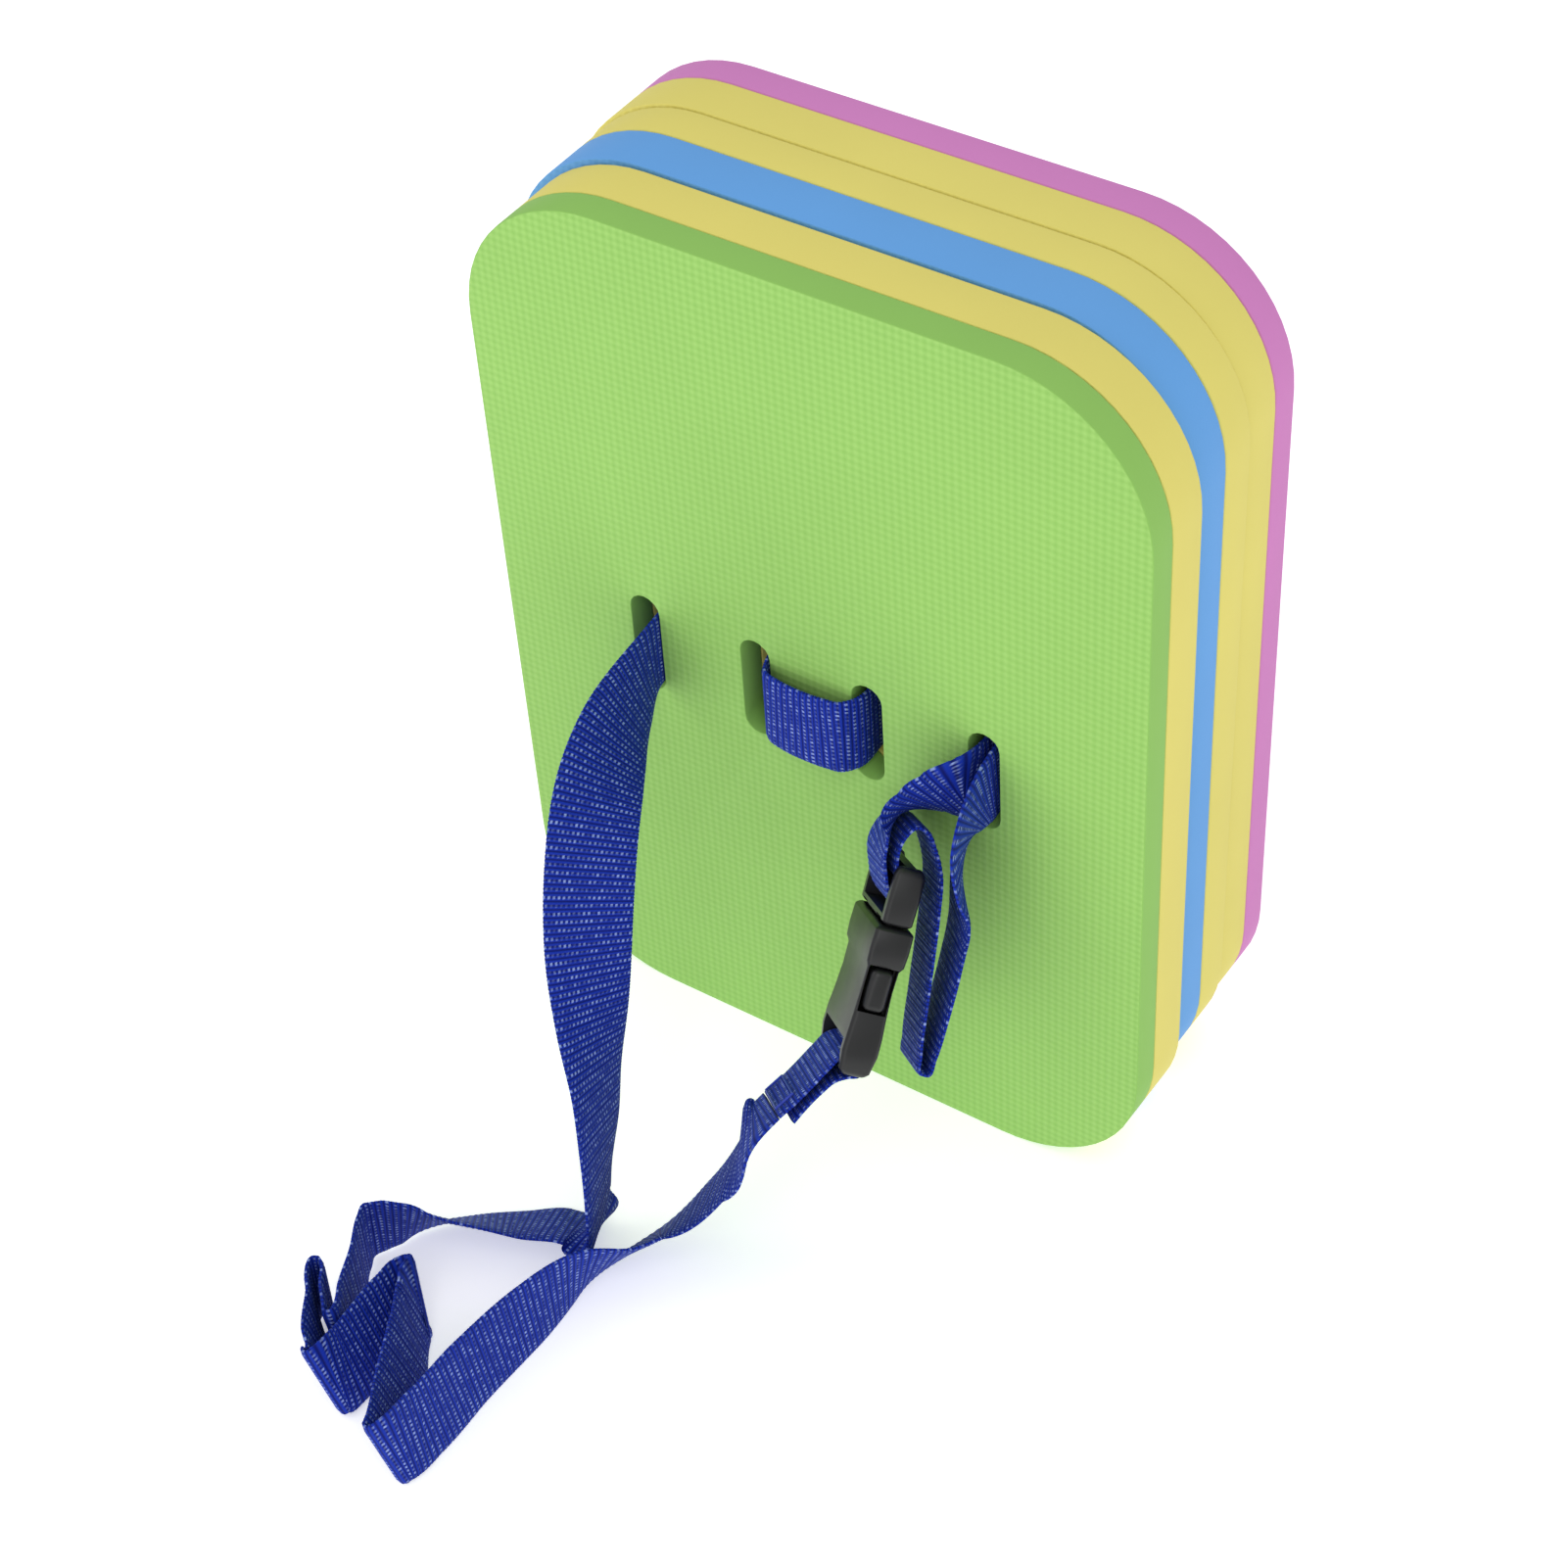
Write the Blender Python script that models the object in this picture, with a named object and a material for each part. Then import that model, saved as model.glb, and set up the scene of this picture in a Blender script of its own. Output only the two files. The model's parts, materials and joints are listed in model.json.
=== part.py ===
"""Child's swimming back float: three two-colour foam boards threaded on a waist belt.

Each board is two closed-cell foam sheets bonded face to face, with four vertical slots.
One length of 25 mm webbing weaves through the slots of all three boards and closes in front
with a side-release buckle.  The boards stand on their bottom edges.  Units are metres, +Z is
up, +Y runs from the front board to the rear board, and the origin is at the bottom centre of
the stack of boards.
"""

import math

import bmesh
import bpy
from mathutils import Matrix, Vector

COLLECTION = "back_float"
CUTTERS = "back_float_cutters"

# Boards: a rounded outline, a little wider at the top than at the bottom.
BOARD_HEIGHT = 0.280
TOP_HALF_WIDTH = 0.1049
BOTTOM_HALF_WIDTH = 0.1036
TOP_RADIUS = 0.0451
BOTTOM_RADIUS = 0.0445
CORNER_STEPS = 14

# Layers from the front: name, thickness, gap behind it.
BOND_GAP = 0.0003
LAYERS = (
    ("front_board_green_sheet", 0.0096, BOND_GAP),
    ("front_board_yellow_sheet", 0.0144, 0.0015),
    ("middle_board_blue_sheet", 0.0152, BOND_GAP),
    ("middle_board_yellow_sheet", 0.0127, 0.0006),
    ("rear_board_yellow_sheet", 0.0148, BOND_GAP),
    ("rear_board_pink_sheet", 0.0102, 0.0),
)
# Sideways offset of each board on the belt.
BOARD_SHIFT = {"front": 0.0020, "middle": -0.0007, "rear": -0.0020}

# Slots: centres across the board, and their place up it.
SLOT_CENTRES = (-0.0552, -0.0182, 0.0182, 0.0552)
SLOT_HALF_WIDTH = 0.0048
SLOT_BOTTOM = 0.1222
SLOT_TOP = 0.1560
SLOT_STEPS = 8

# Webbing.
WEB_WIDTH = 0.025
WEB_THICKNESS = 0.0014
WEB_STEP = 0.004
THREAD_RADIUS = 0.0004
# The box stitch in the buckle's frame: y across the belt, z along it.
STITCH_CORNERS = ((-0.0090, -0.0095), (0.0090, -0.0095), (0.0090, -0.0145), (-0.0090, -0.0145))
UP = (0.0, 0.0, 1.0)

# Buckle: z runs up its length, y towards the edge that faces the user, x out of its face.
BUCKLE_FOOT = Vector((0.0437, -0.0932, 0.0703))
BUCKLE_LONG_AXIS = Vector((-0.0495, 0.6267, 0.7776)).normalized()
BUCKLE_SIDE_AXIS = Vector((0.6207, -0.5907, 0.5156))
BUCKLE_HALF_WIDTH = 0.0165
SOCKET_LENGTH = 0.0424
SOCKET_HALF_DEPTH = 0.0055
INSERT_FOOT = 0.0427
INSERT_TOP = 0.0590
INSERT_HALF_DEPTH = 0.0043
WEB_WINDOW_HALF = 0.0132
PRONG_PIVOT_Z = 0.0405
PRONG_PIVOT_Y = 0.0098
BUTTON_FOOT = 0.0188
BUTTON_TOP = 0.0307
# Rounding of the moulded edges.
SOCKET_EDGE = 0.0022
INSERT_EDGE = 0.0016
BUTTON_EDGE = 0.0012
# Inside the socket: half depth, half width and foot of its cavity.
CAVITY_HALF_DEPTH = 0.0036
CAVITY_HALF_WIDTH = 0.0140
CAVITY_FOOT = 0.0130
# The side windows that the buttons fill, with their play.
SIDE_WINDOW_HALF_DEPTH = 0.0040
SIDE_WINDOW_INNER = 0.0120
BUTTON_PLAY = 0.0006
# Webbing windows, from foot to top, and the half thickness of the bars beside them.
SOCKET_WEB_WINDOW = (0.0040, 0.0098)
SOCKET_FOOT_STEP = 0.0010
SOCKET_BAR_REACH = 0.0060
SOCKET_BAR_HALF = 0.0018
INSERT_WEB_WINDOWS = {"inner": (0.0452, 0.0502), "outer": (0.0527, 0.0566)}
INSERT_BAR_HALF = 0.0015
# The insert's middle guide and the notches its prongs flex in.
GUIDE_LOW = (-0.0016, -0.0030, 0.0165)
GUIDE_HIGH = (0.0016, 0.0030, 0.0440)
PRONG_SEAT_HALF = 0.0030
PRONG_SEAT_TOP = 0.0441
# A prong, measured from its pivot's line: the arm's and the button's cross-sections.
ARM_HALF_DEPTH = 0.0015
ARM_Y = (0.0083, 0.0113)
ARM_LAP = 0.0030
ARM_TOP = 0.0437
BUTTON_HALF_DEPTH = 0.0031
BUTTON_Y = (0.0088, 0.0168)
# Cutters run this far past the plastic.
PAST = 0.0100

GREEN = (0.356, 0.584, 0.184, 1.0)
YELLOW = (0.791, 0.723, 0.216, 1.0)
BLUE = (0.184, 0.423, 0.791, 1.0)
PINK = (0.665, 0.296, 0.558, 1.0)
WEBBING_BLUE = (0.013, 0.036, 0.279, 1.0)
THREAD_BLUE = (0.030, 0.090, 0.420, 1.0)
PLASTIC_BLACK = (0.022, 0.022, 0.024, 1.0)


def clear_scene():
    """Remove every object and orphan mesh, so that each run starts alike."""
    for old in list(bpy.data.objects):
        bpy.data.objects.remove(old, do_unlink=True)


def make_collection(name):
    """Return a collection of this name that is linked to the scene."""
    collection = bpy.data.collections.get(name) or bpy.data.collections.new(name)
    if name not in bpy.context.scene.collection.children:
        bpy.context.scene.collection.children.link(collection)
    return collection


def make_material(name, colour, roughness):
    """Return a plain Principled material."""
    material = bpy.data.materials.new(name)
    material.use_nodes = True
    shader = material.node_tree.nodes["Principled BSDF"]
    shader.inputs["Base Color"].default_value = colour
    shader.inputs["Roughness"].default_value = roughness
    shader.inputs["Metallic"].default_value = 0.0
    return material


def add_object(name, data, colour, roughness):
    """Link new object data under a name, with its own material."""
    thing = bpy.data.objects.new(name, data)
    bpy.data.collections[COLLECTION].objects.link(thing)
    data.materials.append(make_material(name, colour, roughness))
    return thing


# ---------------------------------------------------------------- foam boards


def arc(centre, radius, start, end, steps):
    """Points on an arc, both ends included; angles are in degrees."""
    points = []
    for i in range(steps + 1):
        angle = math.radians(start + (end - start) * i / steps)
        points.append((centre[0] + radius * math.cos(angle), centre[1] + radius * math.sin(angle)))
    return points


def board_outline():
    """The board's outline, anticlockwise from its lower right corner."""
    top = BOARD_HEIGHT - TOP_RADIUS
    right_top = TOP_HALF_WIDTH - TOP_RADIUS
    right_bottom = BOTTOM_HALF_WIDTH - BOTTOM_RADIUS
    points = arc((right_bottom, BOTTOM_RADIUS), BOTTOM_RADIUS, -90, 0, CORNER_STEPS)
    points += arc((right_top, top), TOP_RADIUS, 0, 90, CORNER_STEPS)
    points += arc((-right_top, top), TOP_RADIUS, 90, 180, CORNER_STEPS)
    points += arc((-right_bottom, BOTTOM_RADIUS), BOTTOM_RADIUS, 180, 270, CORNER_STEPS)
    return points


def slot_outline(centre):
    """One upright slot with round ends."""
    radius = SLOT_HALF_WIDTH
    points = arc((centre, SLOT_TOP - radius), radius, 0, 180, SLOT_STEPS)
    points += arc((centre, SLOT_BOTTOM + radius), radius, 180, 360, SLOT_STEPS)
    return points


def add_loop(curve, points):
    """Add a closed straight-sided spline to a 2D curve."""
    spline = curve.splines.new("POLY")
    spline.points.add(len(points) - 1)
    for target, point in zip(spline.points, points):
        target.co = (point[0], point[1], 0.0, 1.0)
    spline.use_cyclic_u = True


def foam_sheet(name, front, thickness, shift, colour):
    """A sheet cut to the board outline, with its slots; front is its front face's y."""
    curve = bpy.data.curves.new(name, "CURVE")
    curve.dimensions = "2D"
    curve.fill_mode = "BOTH"
    curve.extrude = thickness / 2
    add_loop(curve, board_outline())
    for centre in SLOT_CENTRES:
        add_loop(curve, slot_outline(centre))
    sheet = add_object(name, curve, colour, 0.75)
    sheet.rotation_euler = (math.pi / 2, 0.0, 0.0)
    sheet.location = (shift, front + thickness / 2, 0.0)
    return sheet


def build_boards():
    """All six sheets, with the stack centred on y = 0."""
    colours = {"green": GREEN, "yellow": YELLOW, "blue": BLUE, "pink": PINK}
    front = -sum(thickness + gap for _, thickness, gap in LAYERS) / 2
    for name, thickness, gap in LAYERS:
        board, _, colour, _ = name.split("_")
        foam_sheet(name, front, thickness, BOARD_SHIFT[board], colours[colour])
        front += thickness + gap


# ---------------------------------------------------------------- webbing


def buckle_matrix():
    """The buckle's own frame in the part's frame."""
    long_axis = BUCKLE_LONG_AXIS
    side = (BUCKLE_SIDE_AXIS - long_axis * BUCKLE_SIDE_AXIS.dot(long_axis)).normalized()
    face = side.cross(long_axis)
    frame = Matrix((face, side, long_axis)).transposed().to_4x4()
    frame.translation = BUCKLE_FOOT
    return frame


BUCKLE = buckle_matrix()


def on_buckle(x, z, y=0.0):
    """A webbing station in the buckle's frame: a point, and the way its width runs."""
    return (BUCKLE @ Vector((x, y, z)), BUCKLE.to_3x3() @ Vector((0.0, 1.0, 0.0)))


def at(x, y, z, width=UP):
    """A webbing station in the part's frame."""
    return (Vector((x, y, z)), Vector(width))


def fold(centre, width, towards, turn, radius=0.0018):
    """Stations round a flat fold: towards points at its crease, turn is 1 or -1."""
    axis = Vector(width).normalized()
    out = (Vector(towards) - axis * axis.dot(Vector(towards))).normalized()
    side = axis.cross(out) * turn
    stations = []
    for degrees in (-90, -45, 0, 45, 90):
        angle = math.radians(degrees)
        point = Vector(centre) + (out * math.cos(angle) + side * math.sin(angle)) * radius
        stations.append((point, axis))
    return stations


def smooth_route(stations, step):
    """Read points and width directions off a smooth curve through the stations."""
    gaps = [(b[0] - a[0]).length for a, b in zip(stations, stations[1:])]
    slopes = [station_slope(stations, gaps, i) for i in range(len(stations))]
    route = []
    for i, gap in enumerate(gaps):
        pieces = max(2, round(gap / step))
        for k in range(pieces):
            t = k / pieces
            pair = []
            for j in (0, 1):
                start, end = stations[i][j], stations[i + 1][j]
                pair.append(hermite(start, end, slopes[i][j] * gap, slopes[i + 1][j] * gap, t))
            route.append(tuple(pair))
    route.append(stations[-1])
    return route


def station_slope(stations, gaps, i):
    """How fast the point and the width change along the route at station i."""
    if i == 0 or i == len(gaps):
        k = min(i, len(gaps) - 1)
        return [(stations[k + 1][j] - stations[k][j]) / gaps[k] for j in (0, 1)]
    before, after = gaps[i - 1], gaps[i]
    slopes = []
    for j in (0, 1):
        left = (stations[i][j] - stations[i - 1][j]) / before
        right = (stations[i + 1][j] - stations[i][j]) / after
        slopes.append((left * after + right * before) / (before + after))
    return slopes


def hermite(a, b, slope_a, slope_b, t):
    """Cubic between a and b with the given end slopes."""
    ease = t * t * (3 - 2 * t)
    return a * (1 - ease) + b * ease + slope_a * t * (1 - t) ** 2 - slope_b * t * t * (1 - t)


def webbing(name, stations):
    """A flat band along the stations, closed at both ends."""
    route = smooth_route(stations, WEB_STEP)
    mesh = bmesh.new()
    rings = []
    for i, (point, width) in enumerate(route):
        before = route[max(i - 1, 0)][0]
        after = route[min(i + 1, len(route) - 1)][0]
        along = (after - before).normalized()
        across = (width - along * width.dot(along)).normalized()
        out = along.cross(across)
        ring = []
        for side, face in ((-1, -1), (1, -1), (1, 1), (-1, 1)):
            corner = point + across * side * WEB_WIDTH / 2 + out * face * WEB_THICKNESS / 2
            ring.append(mesh.verts.new(corner))
        rings.append(ring)
    for first, second in zip(rings, rings[1:]):
        for k in range(4):
            n = (k + 1) % 4
            mesh.faces.new((first[k], first[n], second[n], second[k]))
    mesh.faces.new(rings[0][::-1])
    mesh.faces.new(rings[-1])
    bmesh.ops.recalc_face_normals(mesh, faces=mesh.faces)
    data = bpy.data.meshes.new(name)
    mesh.to_mesh(data)
    mesh.free()
    return add_object(name, data, WEBBING_BLUE, 0.8)


# The belt in order from its sewn end to its tucked tail, one list for each stretch.
SEWN_END = (
    on_buckle(0.0116, -0.0165),
    on_buckle(0.0096, -0.0122),
    on_buckle(0.0068, -0.0072),
    on_buckle(0.0034, -0.0026),
    on_buckle(0.0006, -0.0010),
    on_buckle(-0.0022, 0.0000),
    on_buckle(-0.0036, 0.0024),
    on_buckle(-0.0026, 0.0050),
    on_buckle(0.0004, 0.0060),
    on_buckle(0.0036, 0.0044),
    on_buckle(0.0064, 0.0000),
    on_buckle(0.0092, -0.0052),
    on_buckle(0.0124, -0.0108),
    on_buckle(0.0158, -0.0160),
)
FLOOR_RUN = (
    on_buckle(0.0160, -0.0164),
    on_buckle(0.0188, -0.0214),
    at(0.0215, -0.1175, 0.0370, (0.42, -0.88, 0.20)),
    at(0.0130, -0.1228, 0.0215, (0.32, -0.92, 0.23)),
    at(0.0055, -0.1310, 0.0132, (0.32, -0.74, 0.58)),
    at(0.0000, -0.1420, 0.0115, (0.38, -0.52, 0.76)),
    at(-0.0060, -0.1560, 0.0128, (0.07, -0.40, 0.91)),
    at(-0.0095, -0.1760, 0.0130, (-0.16, -0.32, 0.93)),
    at(-0.0115, -0.1990, 0.0130, (-0.22, -0.30, 0.92)),
    at(-0.0115, -0.2180, 0.0133, (-0.25, -0.15, 0.95)),
    *fold((-0.0145, -0.2315, 0.0133), (-0.25, -0.12, 0.95), (-0.1, -1.0, 0.0), -1),
    at(-0.0225, -0.2190, 0.0128, (-0.28, -0.10, 0.95)),
    at(-0.0310, -0.2020, 0.0131, (-0.34, 0.02, 0.93)),
    at(-0.0372, -0.1918, 0.0131, (-0.38, 0.22, 0.89)),
    *fold((-0.0410, -0.1868, 0.0122), (-0.40, 0.34, 0.85), (0.0, 1.0, 0.4), 1),
    at(-0.0432, -0.1945, 0.0120, (-0.40, 0.22, 0.88)),
    at(-0.0424, -0.2055, 0.0126, (-0.38, 0.08, 0.91)),
    at(-0.0418, -0.2150, 0.0130, (-0.36, -0.06, 0.93)),
    *fold((-0.0437, -0.2215, 0.0134), (-0.34, -0.06, 0.93), (0.0, -1.0, 0.0), -1),
    at(-0.0510, -0.2165, 0.0134, (-0.26, -0.05, 0.96)),
    at(-0.0590, -0.2075, 0.0134, (-0.10, -0.02, 0.98)),
    *fold((-0.0648, -0.1988, 0.0134), (0.0, 0.0, 1.0), (-0.63, 0.78, 0.0), -1),
    at(-0.0580, -0.2035, 0.0134, (-0.08, 0.00, 0.99)),
    at(-0.0530, -0.2078, 0.0134, (-0.14, 0.00, 0.99)),
    *fold((-0.0494, -0.2092, 0.0134), (-0.16, 0.00, 0.98), (0.6, -0.8, 0.0), 1, 0.0014),
    at(-0.0530, -0.2010, 0.0134, (-0.10, 0.00, 0.99)),
    at(-0.0592, -0.1890, 0.0134, (0.00, -0.05, 0.99)),
    at(-0.0650, -0.1790, 0.0134, (0.04, -0.08, 0.99)),
    at(-0.0664, -0.1748, 0.0134, (0.05, -0.10, 0.99)),
    at(-0.0640, -0.1712, 0.0134, (0.06, -0.14, 0.98)),
    at(-0.0600, -0.1675, 0.0130, (0.12, -0.24, 0.95)),
    at(-0.0560, -0.1635, 0.0122, (0.25, -0.42, 0.87)),
    at(-0.0440, -0.1545, 0.0105, (0.44, -0.58, 0.68)),
    at(-0.0330, -0.1475, 0.0090, (0.47, -0.69, 0.55)),
    at(-0.0235, -0.1425, 0.0096, (0.46, -0.74, 0.48)),
    at(-0.0165, -0.1402, 0.0092, (0.42, -0.78, 0.46)),
    at(-0.0124, -0.1395, 0.0118, (0.40, -0.84, 0.36)),
    at(-0.0112, -0.1390, 0.0190, (0.38, -0.88, 0.28)),
    at(-0.0110, -0.1375, 0.0300, (0.34, -0.91, 0.20)),
    at(-0.0116, -0.1340, 0.0460, (0.22, -0.96, 0.10)),
    at(-0.0142, -0.1290, 0.0650, (0.10, -0.98, 0.05)),
    at(-0.0180, -0.1232, 0.0830, (-0.20, -0.97, 0.04)),
    at(-0.0230, -0.1155, 0.1000, (-0.48, -0.87, 0.05)),
    at(-0.0285, -0.1050, 0.1155, (-0.64, -0.74, 0.15)),
    at(-0.0350, -0.0910, 0.1275, (-0.66, -0.60, 0.35)),
    at(-0.0413, -0.0750, 0.1330, (-0.52, -0.46, 0.68)),
    at(-0.0462, -0.0585, 0.1356, (-0.26, -0.24, 0.93)),
    at(-0.0492, -0.0430, 0.1380),
    at(-0.0505, -0.0280, 0.1380),
)
LEFT_REAR_SPAN = (
    at(-0.0505, -0.0277, 0.1380),
    at(-0.0532, -0.0160, 0.1380),
    at(-0.0545, -0.0060, 0.1380),
    at(-0.0550, 0.0160, 0.1380),
    at(-0.0558, 0.0360, 0.1380),
    at(-0.0556, 0.0475, 0.1380),
    at(-0.0520, 0.0530, 0.1380),
    at(-0.0440, 0.0550, 0.1380),
    at(-0.0330, 0.0550, 0.1380),
    at(-0.0250, 0.0530, 0.1380),
    at(-0.0214, 0.0475, 0.1380),
    at(-0.0212, 0.0360, 0.1380),
    at(-0.0195, 0.0160, 0.1380),
    at(-0.0168, -0.0060, 0.1380),
    at(-0.0135, -0.0277, 0.1380),
)
FRONT_BRIDGE = (
    at(-0.0135, -0.0280, 0.1380),
    at(-0.0130, -0.0385, 0.1380),
    at(-0.0108, -0.0432, 0.1380),
    at(-0.0050, -0.0448, 0.1378),
    at(0.0020, -0.0452, 0.1377),
    at(0.0090, -0.0449, 0.1378),
    at(0.0140, -0.0440, 0.1380),
    at(0.0167, -0.0408, 0.1380),
    at(0.0173, -0.0280, 0.1380),
)
RIGHT_REAR_SPAN = (
    at(0.0173, -0.0277, 0.1380),
    at(0.0169, -0.0060, 0.1380),
    at(0.0164, 0.0160, 0.1380),
    at(0.0160, 0.0360, 0.1380),
    at(0.0162, 0.0475, 0.1380),
    at(0.0198, 0.0530, 0.1380),
    at(0.0280, 0.0550, 0.1380),
    at(0.0400, 0.0550, 0.1380),
    at(0.0475, 0.0530, 0.1380),
    at(0.0508, 0.0475, 0.1380),
    at(0.0510, 0.0360, 0.1380),
    at(0.0516, 0.0160, 0.1380),
    at(0.0530, -0.0060, 0.1380),
    at(0.0548, -0.0277, 0.1380),
)
ADJUSTER_STRAND = (
    at(0.0548, -0.0280, 0.1380),
    at(0.0548, -0.0395, 0.1380),
    at(0.0532, -0.0455, 0.1388, (0.04, -0.08, 0.99)),
    at(0.0494, -0.0482, 0.1365, (0.16, -0.22, 0.96)),
    at(0.0444, -0.0502, 0.1335, (0.30, -0.38, 0.87)),
    at(0.0375, -0.0532, 0.1282, (0.50, -0.50, 0.70)),
    at(0.0353, -0.0574, 0.1226, (0.60, -0.54, 0.60)),
    on_buckle(0.0072, 0.0590),
    on_buckle(0.0058, 0.0550),
    on_buckle(0.0038, 0.0508),
    on_buckle(0.0016, 0.0484),
    on_buckle(-0.0010, 0.0479),
    on_buckle(-0.0031, 0.0494),
    on_buckle(-0.0034, 0.0518),
    on_buckle(-0.0022, 0.0538),
    on_buckle(0.0002, 0.0545),
    on_buckle(0.0022, 0.0555),
    on_buckle(0.0036, 0.0585),
    on_buckle(0.0042, 0.0622),
    on_buckle(0.0034, 0.0665),
    on_buckle(0.0010, 0.0697),
    on_buckle(-0.0020, 0.0690),
    on_buckle(-0.0054, 0.0649),
    on_buckle(-0.0091, 0.0580),
    on_buckle(-0.0111, 0.0490),
    on_buckle(-0.0132, 0.0362),
    on_buckle(-0.0152, 0.0226),
    on_buckle(-0.0174, 0.0090),
    on_buckle(-0.0186, 0.0046),
    on_buckle(-0.0208, 0.0045),
    on_buckle(-0.0215, 0.0095),
    on_buckle(-0.0215, 0.0214, 0.0008),
    on_buckle(-0.0208, 0.0340, 0.0022),
    on_buckle(-0.0196, 0.0450, 0.0036),
    at(0.0585, -0.0550, 0.1110, (0.62, -0.68, 0.40)),
    at(0.0588, -0.0552, 0.1205, (0.45, -0.80, 0.40)),
    at(0.0590, -0.0530, 0.1290, (0.22, -0.74, 0.62)),
    at(0.0592, -0.0455, 0.1356, (0.05, -0.42, 0.90)),
    at(0.0588, -0.0335, 0.1382, (0.00, -0.08, 1.00)),
    at(0.0578, -0.0190, 0.1384),
    at(0.0570, -0.0060, 0.1385),
)


def box_stitch():
    """The thread that closes the sewn end, as one loop that lies on the outer layer."""
    # The outer layer's last two stations, in the buckle's frame: x and z.
    near, end = (0.0124, -0.0108), (0.0158, -0.0160)
    slope = (end[0] - near[0]) / (near[1] - end[1])
    lift = (WEB_THICKNESS / 2 + 2 * THREAD_RADIUS) / math.cos(math.atan(slope))
    curve = bpy.data.curves.new("sewn_end_stitching", "CURVE")
    curve.dimensions = "3D"
    curve.bevel_depth = THREAD_RADIUS
    curve.bevel_resolution = 1
    spline = curve.splines.new("POLY")
    spline.points.add(len(STITCH_CORNERS) - 1)
    for target, (y, z) in zip(spline.points, STITCH_CORNERS):
        x = near[0] + (near[1] - z) * slope + lift
        target.co = (*(BUCKLE @ Vector((x, y, z))), 1.0)
    spline.use_cyclic_u = True
    return add_object("sewn_end_stitching", curve, THREAD_BLUE, 0.6)


def build_belt():
    """Every stretch of the belt."""
    webbing("belt_sewn_end", SEWN_END)
    webbing("belt_floor_run", FLOOR_RUN)
    webbing("belt_left_rear_span", LEFT_REAR_SPAN)
    webbing("belt_front_bridge", FRONT_BRIDGE)
    webbing("belt_right_rear_span", RIGHT_REAR_SPAN)
    webbing("belt_adjuster_strand", ADJUSTER_STRAND)
    box_stitch()


# ---------------------------------------------------------------- buckle


def box_mesh(name, low, high, bevel=0.0, segments=2):
    """A box between two corners, its edges rounded by bevel."""
    mesh = bmesh.new()
    bmesh.ops.create_cube(mesh, size=1.0)
    size = Vector(high) - Vector(low)
    middle = (Vector(high) + Vector(low)) / 2
    bmesh.ops.transform(
        mesh, matrix=Matrix.Translation(middle) @ Matrix.Diagonal((*size, 1.0)), verts=mesh.verts
    )
    if bevel:
        bmesh.ops.bevel(
            mesh, geom=mesh.edges, offset=bevel, segments=segments, profile=0.5, affect="EDGES"
        )
    data = bpy.data.meshes.new(name)
    mesh.to_mesh(data)
    mesh.free()
    return data


def add_cutter(name, low, high, bevel=0.0):
    """A box that only cuts or joins, in the buckle's frame."""
    cutter = bpy.data.objects.new(name, box_mesh(name, low, high, bevel))
    bpy.data.collections[CUTTERS].objects.link(cutter)
    cutter.matrix_world = BUCKLE
    cutter.hide_render = True
    cutter.display_type = "WIRE"
    return cutter


def boolean(target, cutter, operation="DIFFERENCE"):
    """Cut or join one object with another."""
    modifier = target.modifiers.new(cutter.name, "BOOLEAN")
    modifier.operation = operation
    modifier.object = cutter


def plastic(name, data):
    """An object in the buckle's frame, in black plastic."""
    thing = add_object(name, data, PLASTIC_BLACK, 0.35)
    thing.matrix_world = BUCKLE
    return thing


def build_socket():
    """The female half: a flat sleeve with side windows and a bar for the sewn end."""
    half, depth = BUCKLE_HALF_WIDTH, SOCKET_HALF_DEPTH
    shell = plastic(
        "buckle_socket",
        box_mesh("buckle_socket", (-depth, -half, 0.0), (depth, half, SOCKET_LENGTH), SOCKET_EDGE),
    )
    cavity = add_cutter(
        "socket_cavity",
        (-CAVITY_HALF_DEPTH, -CAVITY_HALF_WIDTH, CAVITY_FOOT),
        (CAVITY_HALF_DEPTH, CAVITY_HALF_WIDTH, SOCKET_LENGTH + PAST),
    )
    boolean(shell, cavity)
    for side in (-1, 1):
        inner, outer = sorted((side * SIDE_WINDOW_INNER, side * (half + PAST)))
        window = add_cutter(
            f"socket_window_{side}",
            (-SIDE_WINDOW_HALF_DEPTH, inner, BUTTON_FOOT - BUTTON_PLAY),
            (SIDE_WINDOW_HALF_DEPTH, outer, BUTTON_TOP + BUTTON_PLAY),
        )
        boolean(shell, window)
    low, high = SOCKET_WEB_WINDOW
    web_window = add_cutter(
        "socket_web_window", (-PAST, -WEB_WINDOW_HALF, low), (PAST, WEB_WINDOW_HALF, high)
    )
    boolean(shell, web_window)
    # The bar is thinner than the shell, so that the webbing wraps it inside the outline.
    for side in (-1, 1):
        inner, outer = sorted((side * SOCKET_BAR_HALF, side * PAST))
        relief = add_cutter(
            f"socket_bar_relief_{side}",
            (inner, -WEB_WINDOW_HALF, -PAST),
            (outer, WEB_WINDOW_HALF, SOCKET_BAR_REACH),
        )
        boolean(shell, relief)
    foot = add_cutter(
        "socket_foot_relief",
        (-PAST, -WEB_WINDOW_HALF, -PAST),
        (PAST, WEB_WINDOW_HALF, SOCKET_FOOT_STEP),
    )
    boolean(shell, foot)


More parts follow.
